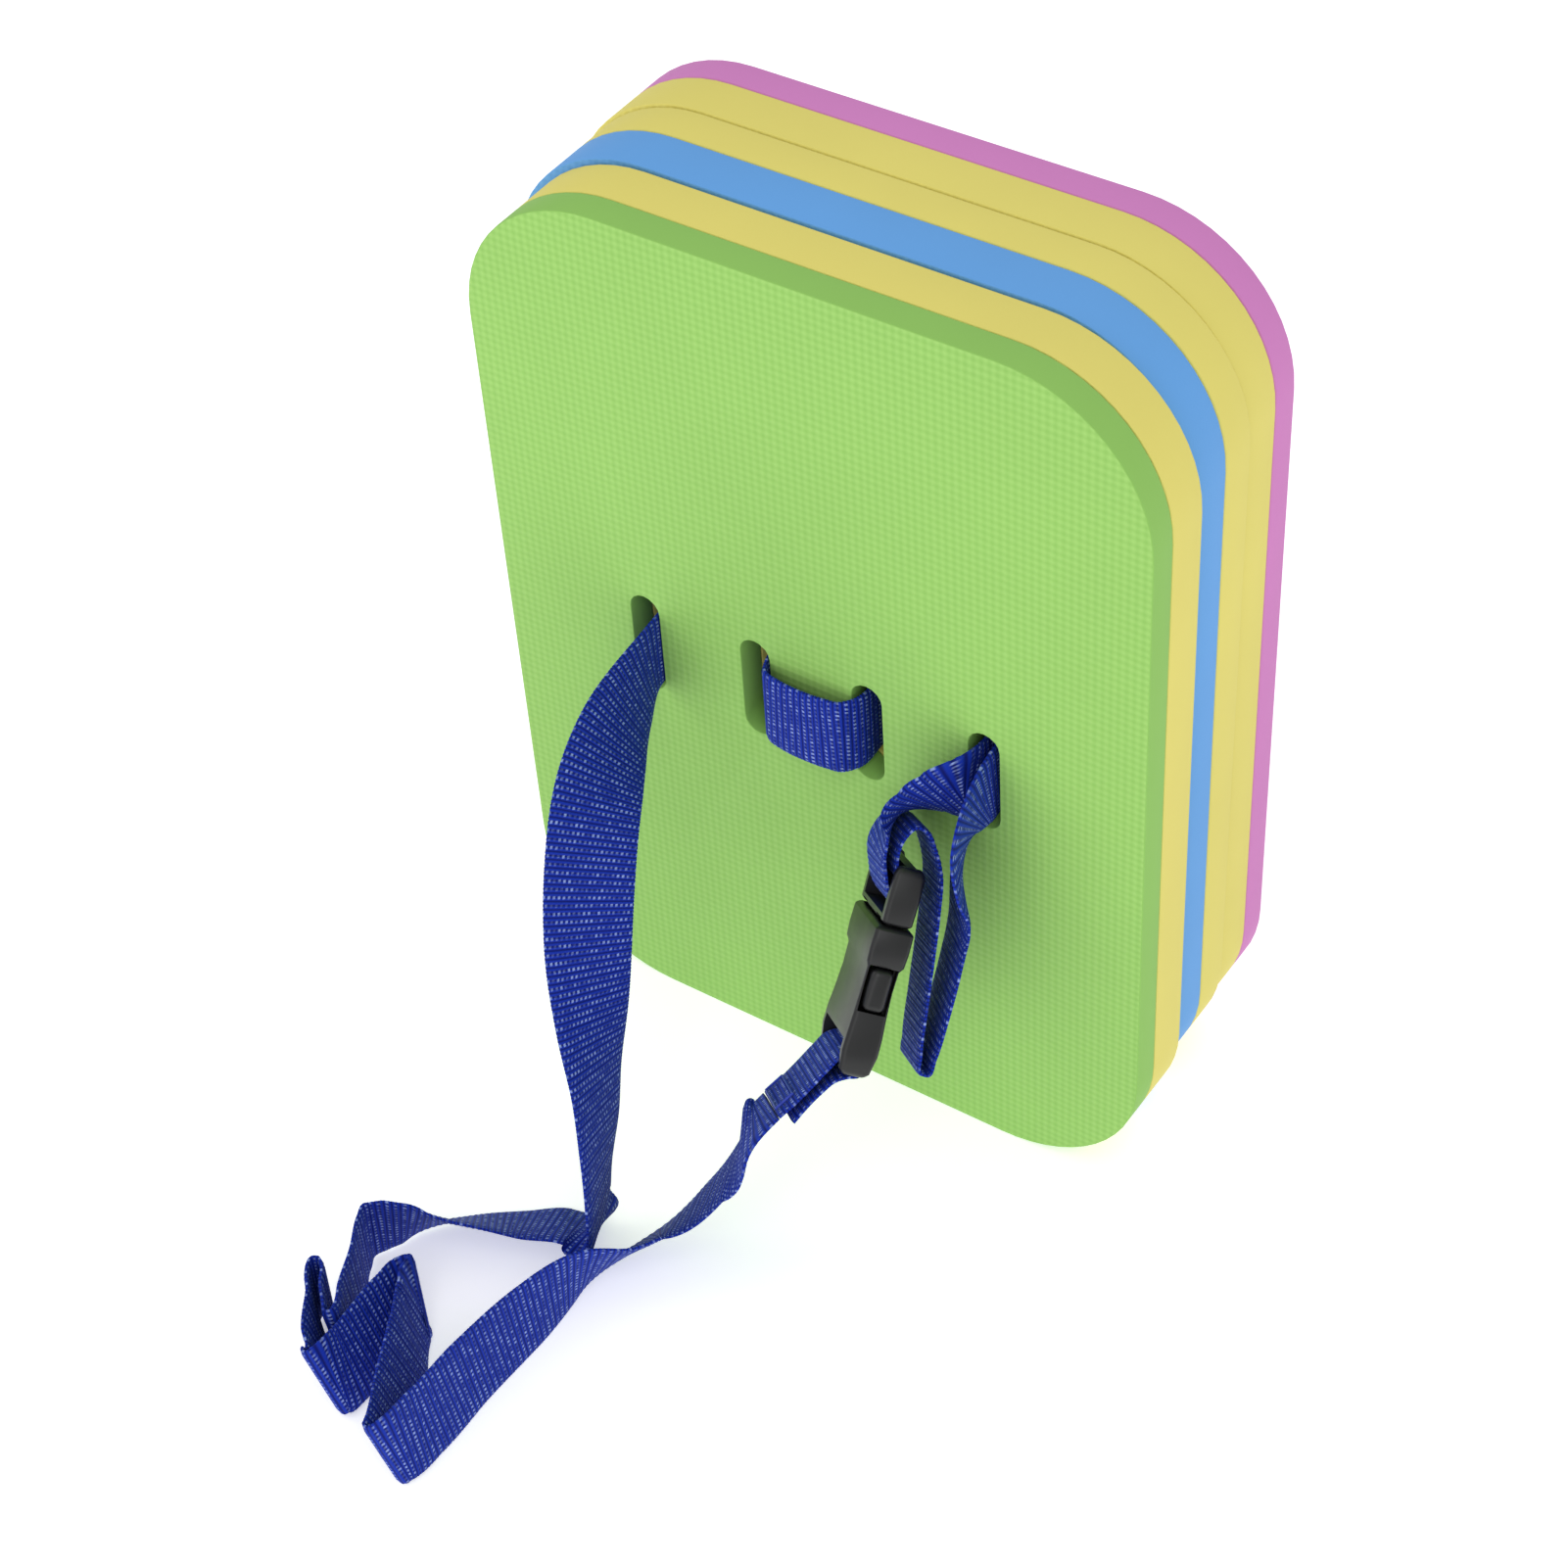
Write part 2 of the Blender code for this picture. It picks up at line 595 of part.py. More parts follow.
def build_insert():
    """The male half's frame: two webbing windows, their bars, and the middle guide."""
    half, depth = BUCKLE_HALF_WIDTH, INSERT_HALF_DEPTH
    frame = plastic(
        "buckle_insert",
        box_mesh("buckle_insert", (-depth, -half, INSERT_FOOT), (depth, half, INSERT_TOP), INSERT_EDGE),
    )
    boolean(frame, add_cutter("insert_guide", GUIDE_LOW, GUIDE_HIGH), "UNION")
    for name, (low, high) in INSERT_WEB_WINDOWS.items():
        web_window = add_cutter(
            f"insert_{name}_window", (-PAST, -WEB_WINDOW_HALF, low), (PAST, WEB_WINDOW_HALF, high)
        )
        boolean(frame, web_window)
    for side in (-1, 1):
        inner, outer = sorted((side * INSERT_BAR_HALF, side * PAST))
        relief = add_cutter(
            f"insert_bar_relief_{side}",
            (inner, -WEB_WINDOW_HALF, INSERT_WEB_WINDOWS["inner"][0]),
            (outer, WEB_WINDOW_HALF, INSERT_TOP + PAST),
        )
        boolean(frame, relief)
        seat = add_cutter(
            f"insert_prong_seat_{side}",
            (-PAST, side * PRONG_PIVOT_Y - PRONG_SEAT_HALF, INSERT_FOOT - PAST),
            (PAST, side * PRONG_PIVOT_Y + PRONG_SEAT_HALF, PRONG_SEAT_TOP),
        )
        boolean(frame, seat)


def build_prong(name, side):
    """One sprung arm of the male half, with the button that shows in the socket's side."""
    arm = (
        (-ARM_HALF_DEPTH, ARM_Y[0] - PRONG_PIVOT_Y, BUTTON_TOP - ARM_LAP - PRONG_PIVOT_Z),
        (ARM_HALF_DEPTH, ARM_Y[1] - PRONG_PIVOT_Y, ARM_TOP - PRONG_PIVOT_Z),
    )
    button = (
        (-BUTTON_HALF_DEPTH, BUTTON_Y[0] - PRONG_PIVOT_Y, BUTTON_FOOT - PRONG_PIVOT_Z),
        (BUTTON_HALF_DEPTH, BUTTON_Y[1] - PRONG_PIVOT_Y, BUTTON_TOP - PRONG_PIVOT_Z),
    )
    prong = plastic(name, box_mesh(name, *mirror_box(*arm, side)))
    prong.matrix_world = BUCKLE @ Matrix.Translation((0.0, side * PRONG_PIVOT_Y, PRONG_PIVOT_Z))
    head = add_cutter(f"{name}_button", *mirror_box(*button, side), BUTTON_EDGE)
    head.matrix_world = prong.matrix_world
    boolean(prong, head, "UNION")


def mirror_box(low, high, side):
    """The same box on the left (-1) or right (1) of the buckle."""
    inner, outer = sorted((side * low[1], side * high[1]))
    return (low[0], inner, low[2]), (high[0], outer, high[2])


def build_buckle():
    """Both halves of the buckle."""
    build_socket()
    build_insert()
    build_prong("buckle_near_prong", 1)
    build_prong("buckle_far_prong", -1)


clear_scene()
make_collection(COLLECTION)
make_collection(CUTTERS)
build_boards()
build_belt()
build_buckle()
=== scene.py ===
"""Looks of a child's swim back float: three foam boards on a webbing belt."""

import json
import logging
import math
from dataclasses import dataclass, field
from enum import Enum

import bmesh
import bpy
from mathutils import Matrix, Vector

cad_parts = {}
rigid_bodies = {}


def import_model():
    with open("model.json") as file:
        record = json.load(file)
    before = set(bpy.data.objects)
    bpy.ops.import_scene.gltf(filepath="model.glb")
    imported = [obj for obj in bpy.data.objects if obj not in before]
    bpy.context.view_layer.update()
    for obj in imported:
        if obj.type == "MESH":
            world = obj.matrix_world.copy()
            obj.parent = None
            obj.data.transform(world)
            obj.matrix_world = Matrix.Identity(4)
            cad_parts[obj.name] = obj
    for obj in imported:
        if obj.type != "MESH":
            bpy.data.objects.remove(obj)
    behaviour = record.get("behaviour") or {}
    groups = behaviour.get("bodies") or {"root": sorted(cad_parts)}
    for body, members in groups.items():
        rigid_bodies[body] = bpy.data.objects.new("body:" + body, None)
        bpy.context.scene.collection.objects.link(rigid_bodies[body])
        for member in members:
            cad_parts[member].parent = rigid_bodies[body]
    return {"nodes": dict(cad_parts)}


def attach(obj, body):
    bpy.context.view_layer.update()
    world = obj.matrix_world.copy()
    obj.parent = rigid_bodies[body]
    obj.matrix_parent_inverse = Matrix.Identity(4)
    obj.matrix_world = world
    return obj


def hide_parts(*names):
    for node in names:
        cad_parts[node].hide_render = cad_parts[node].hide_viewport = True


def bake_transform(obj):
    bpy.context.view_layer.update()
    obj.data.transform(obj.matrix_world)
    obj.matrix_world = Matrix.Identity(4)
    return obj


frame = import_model()
log = logging.getLogger("back_float")

MM = 0.001
UP = (0.0, 0.0, 1.0)

Station = tuple[Vector, Vector]


# ---------------------------------------------------------------- helpers


def linear(hex_colour: str, alpha: float = 1.0) -> tuple[float, float, float, float]:
    """Turn an sRGB hex colour into linear RGBA.

    Args:
        hex_colour: Six hex digits, such as "9CC870".
        alpha: The fourth value.

    Returns:
        Red, green, blue and alpha in linear light.
    """
    parts = [int(hex_colour[i : i + 2], 16) / 255 for i in (0, 2, 4)]
    light = [c / 12.92 if c <= 0.04045 else ((c + 0.055) / 1.055) ** 2.4 for c in parts]
    return (light[0], light[1], light[2], alpha)


def add_node(tree: bpy.types.NodeTree, kind: str, inputs: dict | None = None, **settings) -> bpy.types.Node:
    """Add a shader node with its settings and links.

    Args:
        tree: The node tree that takes the node.
        kind: The node's type name.
        inputs: Value or output socket for each input, by name or index.
        settings: Attributes of the node itself.

    Returns:
        The new node.
    """
    node = tree.nodes.new(kind)
    for name, value in settings.items():
        setattr(node, name, value)
    for name, value in (inputs or {}).items():
        if isinstance(value, bpy.types.NodeSocket):
            tree.links.new(value, node.inputs[name])
        else:
            node.inputs[name].default_value = value
    return node


def new_material(name: str) -> tuple[bpy.types.Material, bpy.types.NodeTree, bpy.types.Node]:
    """Make a node material with a Principled shader.

    Args:
        name: What the finish is called.

    Returns:
        The material, its tree and its shader.
    """
    material = bpy.data.materials.new(name)
    material.use_nodes = True
    tree = material.node_tree
    return material, tree, tree.nodes["Principled BSDF"]


def dress(piece: bpy.types.Object, material: bpy.types.Material) -> None:
    """Give a piece one material."""
    piece.data.materials.clear()
    piece.data.materials.append(material)


def only(piece: bpy.types.Object) -> None:
    """Select one object and make it the active one."""
    bpy.ops.object.select_all(action="DESELECT")
    piece.select_set(True)
    bpy.context.view_layer.objects.active = piece


# ---------------------------------------------------------------- finishes


@dataclass(frozen=True)
class FoamFinish:
    """Closed-cell EVA foam: matt, with a moulded diamond grain on its flat skin and a cut, grainy edge.
    Painted shade darkens the grain's grooves, and the cut edge comes out mostly in that darker colour.
    """

    name: str
    skin: str
    # Darker colour painted as shade in the grain's grooves.
    shade: str
    grain: float = 2.3 * MM
    relief: float = 0.16 * MM
    cell: float = 0.45 * MM

    def build(self) -> bpy.types.Material:
        """Make the foam's material."""
        material, tree, shader = new_material(self.name)
        place = add_node(tree, "ShaderNodeTexCoord").outputs["Object"]
        axes = add_node(tree, "ShaderNodeSeparateXYZ", {0: place})
        ridges = self.diamonds(tree, axes.outputs["X"], axes.outputs["Z"])
        cells = add_node(
            tree,
            "ShaderNodeTexNoise",
            {"Vector": place, "Scale": 1 / self.cell, "Detail": 2.0, "Roughness": 0.6},
        ).outputs["Fac"]
        cloud = add_node(
            tree, "ShaderNodeTexNoise", {"Vector": place, "Scale": 14.0, "Detail": 3.0}
        ).outputs["Fac"]
        normal = add_node(tree, "ShaderNodeNewGeometry").outputs["Normal"]
        facing = add_node(tree, "ShaderNodeSeparateXYZ", {0: normal}).outputs["Y"]
        flat = add_node(tree, "ShaderNodeMath", {0: facing}, operation="ABSOLUTE").outputs[0]
        skin = add_node(
            tree,
            "ShaderNodeMapRange",
            {"Value": flat, "From Min": 0.85, "From Max": 0.97, "To Min": 0.0, "To Max": 1.0},
        ).outputs["Result"]
        moulded = add_node(tree, "ShaderNodeMath", {0: ridges, 1: skin}, operation="MULTIPLY")
        # Painted shade: the grain's grooves take the darker colour, and the cut edge, with no grain, is
        # mostly in it.
        colour = add_node(
            tree,
            "ShaderNodeMix",
            {
                0: add_node(
                    tree,
                    "ShaderNodeMapRange",
                    {"Value": moulded.outputs[0], "To Min": 0.15, "To Max": 0.85},
                ).outputs["Result"],
                6: linear(self.shade),
                7: linear(self.skin),
            },
            data_type="RGBA",
        ).outputs[2]
        mottled = add_node(
            tree,
            "ShaderNodeHueSaturation",
            {
                "Color": colour,
                "Value": add_node(
                    tree,
                    "ShaderNodeMapRange",
                    {"Value": cloud, "To Min": 0.93, "To Max": 1.07},
                ).outputs["Result"],
            },
        ).outputs["Color"]
        relief = add_node(
            tree,
            "ShaderNodeBump",
            {"Height": moulded.outputs[0], "Distance": self.relief, "Strength": 0.8},
        ).outputs["Normal"]
        grain = add_node(
            tree,
            "ShaderNodeBump",
            {"Height": cells, "Distance": 0.08 * MM, "Strength": 0.6, "Normal": relief},
        ).outputs["Normal"]
        tree.links.new(mottled, shader.inputs["Base Color"])
        tree.links.new(grain, shader.inputs["Normal"])
        shader.inputs["Roughness"].default_value = 0.72
        shader.inputs["Specular IOR Level"].default_value = 0.35
        return material

    def diamonds(
        self, tree: bpy.types.NodeTree, x: bpy.types.NodeSocket, z: bpy.types.NodeSocket
    ) -> bpy.types.NodeSocket:
        """Two crossed sets of ridges that make small diamonds.

        Args:
            tree: The material's tree.
            x: Place across the sheet.
            z: Place up the sheet.

        Returns:
            The height of the ridges, from 0 to 1.
        """
        turns = math.pi / self.grain
        waves = []
        for lean in (-1.0, 1.0):
            sloped = add_node(
                tree, "ShaderNodeMath", {0: x, 1: lean, 2: z}, operation="MULTIPLY_ADD"
            )
            phase = add_node(tree, "ShaderNodeMath", {0: sloped.outputs[0], 1: turns}, operation="MULTIPLY")
            wave = add_node(tree, "ShaderNodeMath", {0: phase.outputs[0]}, operation="SINE")
            waves.append(wave.outputs[0])
        product = add_node(tree, "ShaderNodeMath", {0: waves[0], 1: waves[1]}, operation="MULTIPLY")
        return add_node(
            tree, "ShaderNodeMapRange", {"Value": product.outputs[0], "From Min": -1.0, "From Max": 1.0}
        ).outputs["Result"]


@dataclass(frozen=True)
class WebbingFinish:
    """Woven polypropylene webbing: deep blue, with rows of short floats across it that carry a painted
    highlight, and painted shade in the grooves between its ribs.

    The row and the pitch of the floats are in millimetres.
    """

    name: str = "woven_polypropylene_webbing"
    yarn: str = "1230A8"
    # Painted shade in the grooves between the ribs.
    groove_shade: str = "08156A"
    # Painted highlight colour of the floats.
    float_highlight: str = "A3B8F6"
    row: float = 2.1
    float_pitch: float = 1.4

    def build(self) -> bpy.types.Material:
        """Make the webbing's material from its own UV map, in metres along and across the band."""
        material, tree, shader = new_material(self.name)
        uv = add_node(tree, "ShaderNodeUVMap", uv_map="band").outputs["UV"]
        axes = add_node(tree, "ShaderNodeSeparateXYZ", {0: uv})
        rows = self.scaled(tree, axes.outputs["X"], 1 / (self.row * MM))
        row_number = add_node(tree, "ShaderNodeMath", {0: rows}, operation="FLOOR").outputs[0]
        shift = self.scaled(tree, row_number, 0.5)
        across = self.scaled(tree, axes.outputs["Y"], 1 / (self.float_pitch * MM))
        columns = add_node(tree, "ShaderNodeMath", {0: across, 1: shift}, operation="ADD").outputs[0]
        in_column = add_node(tree, "ShaderNodeMath", {0: columns}, operation="FRACT").outputs[0]
        lean = add_node(
            tree, "ShaderNodeMath", {0: in_column, 1: 0.15, 2: rows}, operation="MULTIPLY_ADD"
        ).outputs[0]
        in_row = add_node(tree, "ShaderNodeMath", {0: lean}, operation="FRACT").outputs[0]
        long_way = self.hump(tree, in_row, 0.10, 0.26)
        cross_way = self.hump(tree, in_column, 0.16, 0.34)
        floats = add_node(
            tree, "ShaderNodeMath", {0: long_way, 1: cross_way}, operation="MULTIPLY"
        ).outputs[0]
        place = add_node(tree, "ShaderNodeTexCoord").outputs["Object"]
        # Random spots set how strongly the floats' painted highlight shows.
        glint_spots = add_node(
            tree, "ShaderNodeTexNoise", {"Vector": place, "Scale": 420.0, "Detail": 1.0}
        ).outputs["Fac"]
        glint_strength = add_node(
            tree,
            "ShaderNodeMapRange",
            {"Value": glint_spots, "From Min": 0.40, "From Max": 0.64, "To Min": 0.10, "To Max": 0.75},
        ).outputs["Result"]
        bright = add_node(tree, "ShaderNodeMath", {0: floats, 1: glint_strength}, operation="MULTIPLY").outputs[0]
        ribs = self.scaled(tree, axes.outputs["X"], 2 / (self.row * MM))
        in_rib = add_node(tree, "ShaderNodeMath", {0: ribs}, operation="FRACT").outputs[0]
        ridge = self.hump(tree, in_rib, 0.10, 0.50)
        # Painted shade: the grooves between the ribs take the darker colour.
        ground = add_node(
            tree,
            "ShaderNodeMix",
            {0: ridge, 6: linear(self.groove_shade), 7: linear(self.yarn)},
            data_type="RGBA",
        ).outputs[2]
        # Painted highlight: the floats take the highlight colour over the ground weave.
        colour = add_node(
            tree,
            "ShaderNodeMix",
            {0: bright, 6: ground, 7: linear(self.float_highlight)},
            data_type="RGBA",
        ).outputs[2]
        height = add_node(tree, "ShaderNodeMath", {0: floats, 1: ridge}, operation="ADD").outputs[0]
        bump = add_node(
            tree, "ShaderNodeBump", {"Height": height, "Distance": 0.18 * MM, "Strength": 0.8}
        ).outputs["Normal"]
        tree.links.new(colour, shader.inputs["Base Color"])
        tree.links.new(bump, shader.inputs["Normal"])
        shader.inputs["Roughness"].default_value = 0.7
        shader.inputs["Specular IOR Level"].default_value = 0.15
        shader.inputs["Sheen Weight"].default_value = 0.08
        shader.inputs["Sheen Tint"].default_value = linear("6FA0F0")
        shader.inputs["Sheen Roughness"].default_value = 0.45
        return material

    @staticmethod
    def scaled(
        tree: bpy.types.NodeTree, value: bpy.types.NodeSocket, factor: float
    ) -> bpy.types.NodeSocket:
        """A value times a factor."""
        return add_node(tree, "ShaderNodeMath", {0: value, 1: factor}, operation="MULTIPLY").outputs[0]

    @staticmethod
    def hump(
        tree: bpy.types.NodeTree, value: bpy.types.NodeSocket, flat: float, end: float
    ) -> bpy.types.NodeSocket:
        """A rounded bump in the middle of each repeat.

        Args:
            tree: The material's tree.
            value: A place within the repeat, from 0 to 1.
            flat: How far from the middle the bump stays full.
            end: How far from the middle it ends.

        Returns:
            The bump's height, from 0 to 1.
        """
        centred = add_node(tree, "ShaderNodeMath", {0: value, 1: 0.5}, operation="SUBTRACT").outputs[0]
        away = add_node(tree, "ShaderNodeMath", {0: centred}, operation="ABSOLUTE").outputs[0]
        return add_node(
            tree,
            "ShaderNodeMapRange",
            {"Value": away, "From Min": flat, "From Max": end, "To Min": 1.0, "To Max": 0.0},
            interpolation_type="SMOOTHSTEP",
        ).outputs["Result"]


@dataclass(frozen=True)
class AcetalFinish:
    """Injection-moulded acetal: near black, satin, with a fine spark-eroded mould texture."""

    name: str = "moulded_black_acetal"
    body: str = "0D0E0F"
    worn: str = "17181A"

    def build(self) -> bpy.types.Material:
        """Make the buckle's material."""
        material, tree, shader = new_material(self.name)
        place = add_node(tree, "ShaderNodeTexCoord").outputs["Object"]
        grit = add_node(
            tree, "ShaderNodeTexNoise", {"Vector": place, "Scale": 2600.0, "Detail": 2.0}
        ).outputs["Fac"]
        cloud = add_node(
            tree, "ShaderNodeTexNoise", {"Vector": place, "Scale": 90.0, "Detail": 3.0}
        ).outputs["Fac"]
        colour = add_node(
            tree,
            "ShaderNodeMix",
            {0: cloud, 6: linear(self.body), 7: linear(self.worn)},
            data_type="RGBA",
        ).outputs[2]
        rough = add_node(
            tree, "ShaderNodeMapRange", {"Value": cloud, "To Min": 0.30, "To Max": 0.46}
        ).outputs["Result"]
        bump = add_node(
            tree, "ShaderNodeBump", {"Height": grit, "Distance": 0.03 * MM, "Strength": 0.5}
        ).outputs["Normal"]
        tree.links.new(colour, shader.inputs["Base Color"])
        tree.links.new(rough, shader.inputs["Roughness"])
        tree.links.new(bump, shader.inputs["Normal"])
        shader.inputs["IOR"].default_value = 1.48
        return material


@dataclass(frozen=True)
class ThreadFinish:
    """Twisted polyester sewing thread: blue, a little lighter than the belt."""

    name: str = "twisted_polyester_thread"
    colour: str = "2745C4"

    def build(self) -> bpy.types.Material:
        """Make the thread's material."""
        material, tree, shader = new_material(self.name)
        place = add_node(tree, "ShaderNodeTexCoord").outputs["Object"]
        twist = add_node(
            tree, "ShaderNodeTexNoise", {"Vector": place, "Scale": 1800.0, "Detail": 1.0}
        ).outputs["Fac"]
        colour = add_node(
            tree,
            "ShaderNodeMix",
            {0: twist, 6: linear("16298F"), 7: linear(self.colour)},
            data_type="RGBA",
        ).outputs[2]
        tree.links.new(colour, shader.inputs["Base Color"])
        shader.inputs["Roughness"].default_value = 0.5
        return material


# ---------------------------------------------------------------- foam boards


class FoamColour(Enum):
    """The foam's colours, each with its moulded skin and a darker colour painted as shade in the grooves of
    its grain.
    """

    GREEN = ("green_eva_foam", "9FCE6E", "88BC59")
    YELLOW = ("yellow_eva_foam", "E9E182", "DDD16C")
    BLUE = ("blue_eva_foam", "70ADEB", "5F9FE0")
    PINK = ("pink_eva_foam", "D88CCB", "CB7DBD")


@dataclass
class FoamBoards:
    """Six foam sheets, bonded in pairs into three boards."""

    edge_round: float = 0.8 * MM
    edge_steps: int = 3
    sheets: dict[str, tuple[FoamColour, str, str]] = field(
        default_factory=lambda: {
            "front_board_green_sheet": (FoamColour.GREEN, "root", "green_foam"),
            "front_board_yellow_sheet": (FoamColour.YELLOW, "root", "yellow_foam"),
            "middle_board_blue_sheet": (FoamColour.BLUE, "middle_board", "blue_foam"),
            "middle_board_yellow_sheet": (FoamColour.YELLOW, "middle_board", "yellow_foam"),
            "rear_board_yellow_sheet": (FoamColour.YELLOW, "rear_board", "yellow_foam"),
            "rear_board_pink_sheet": (FoamColour.PINK, "rear_board", "pink_foam"),
        }
    )

    def build(self) -> None:
        """Model and dress every sheet."""
        finishes = {colour: FoamFinish(*colour.value).build() for colour in FoamColour}
        for node, (colour, body, slot) in self.sheets.items():
            piece = self.sheet(node)
            dress(piece, finishes[colour])
            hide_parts(node)
            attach(piece, body)
            log.info("%s on %s", piece.name, body)

    def sheet(self, node: str) -> bpy.types.Object:
        """Round the cut edges of a copy of a plain sheet.

        Args:
            node: The frame's sheet that sets the outline, the slots and the thickness.

        Returns:
            The finished sheet.
        """
        source = frame["nodes"][node]
        only(source)
        bpy.ops.object.duplicate()
        piece = bpy.context.view_layer.objects.active
        piece.name = f"{node}_foam"
        bpy.ops.object.parent_clear(type="CLEAR_KEEP_TRANSFORM")
        bpy.ops.object.mode_set(mode="EDIT")
        bpy.ops.mesh.select_all(action="SELECT")
        bpy.ops.mesh.remove_doubles(threshold=0.00001)
        bpy.ops.mesh.dissolve_limited(angle_limit=math.radians(0.5))
        bpy.ops.mesh.select_all(action="DESELECT")
        bpy.ops.mesh.select_mode(type="EDGE")
        bpy.ops.mesh.edges_select_sharp(sharpness=math.radians(60))
        bpy.ops.mesh.bevel(
            offset=self.edge_round, segments=self.edge_steps, profile=0.5, clamp_overlap=True
        )
        bpy.ops.mesh.select_all(action="SELECT")
        bpy.ops.mesh.normals_make_consistent(inside=False)
        bpy.ops.object.mode_set(mode="OBJECT")
        bpy.ops.object.shade_smooth_by_angle(angle=math.radians(50))
        return piece


# ---------------------------------------------------------------- belt routes

BUCKLE_FOOT = Vector((0.0437, -0.0932, 0.0703))
BUCKLE_LONG_AXIS = Vector((-0.0495, 0.6267, 0.7776)).normalized()
BUCKLE_SIDE_AXIS = Vector((0.6207, -0.5907, 0.5156))


def buckle_matrix() -> Matrix:
    """The buckle's own frame: its flat face, its side and its length."""
    long_axis = BUCKLE_LONG_AXIS
    side = (BUCKLE_SIDE_AXIS - long_axis * BUCKLE_SIDE_AXIS.dot(long_axis)).normalized()
    turned = Matrix((side.cross(long_axis), side, long_axis)).transposed().to_4x4()
    turned.translation = BUCKLE_FOOT
    return turned


BUCKLE = buckle_matrix()


def on_buckle(x: float, z: float, y: float = 0.0) -> Station:
    """A place on the belt in the buckle's frame, with the width along the buckle's side axis."""
    return (BUCKLE @ Vector((x, y, z)), BUCKLE.to_3x3() @ Vector((0.0, 1.0, 0.0)))


def at(x: float, y: float, z: float, width: tuple[float, float, float] = UP) -> Station:
    """A place on the belt in the float's frame, and the way the belt's width runs there."""
    return (Vector((x, y, z)), Vector(width))


def fold(
    centre: tuple[float, float, float],
    width: tuple[float, float, float],
    towards: tuple[float, float, float],
    turn: int,
    radius: float = 0.0018,
) -> list[Station]:
    """Places round a flat fold.

    Args:
        centre: The fold's middle.
        width: The way the belt's width runs.
        towards: The way its crease points.
        turn: 1 or -1, which side the belt comes in by.
        radius: The bend at the crease.

    Returns:
        Five places from one side of the crease to the other.
    """
    axis = Vector(width).normalized()
    out = (Vector(towards) - axis * axis.dot(Vector(towards))).normalized()
    side = axis.cross(out) * turn
    stations = []
    for degrees in (-90, -45, 0, 45, 90):
        angle = math.radians(degrees)
        point = Vector(centre) + (out * math.cos(angle) + side * math.sin(angle)) * radius
        stations.append((point, axis))
    return stations


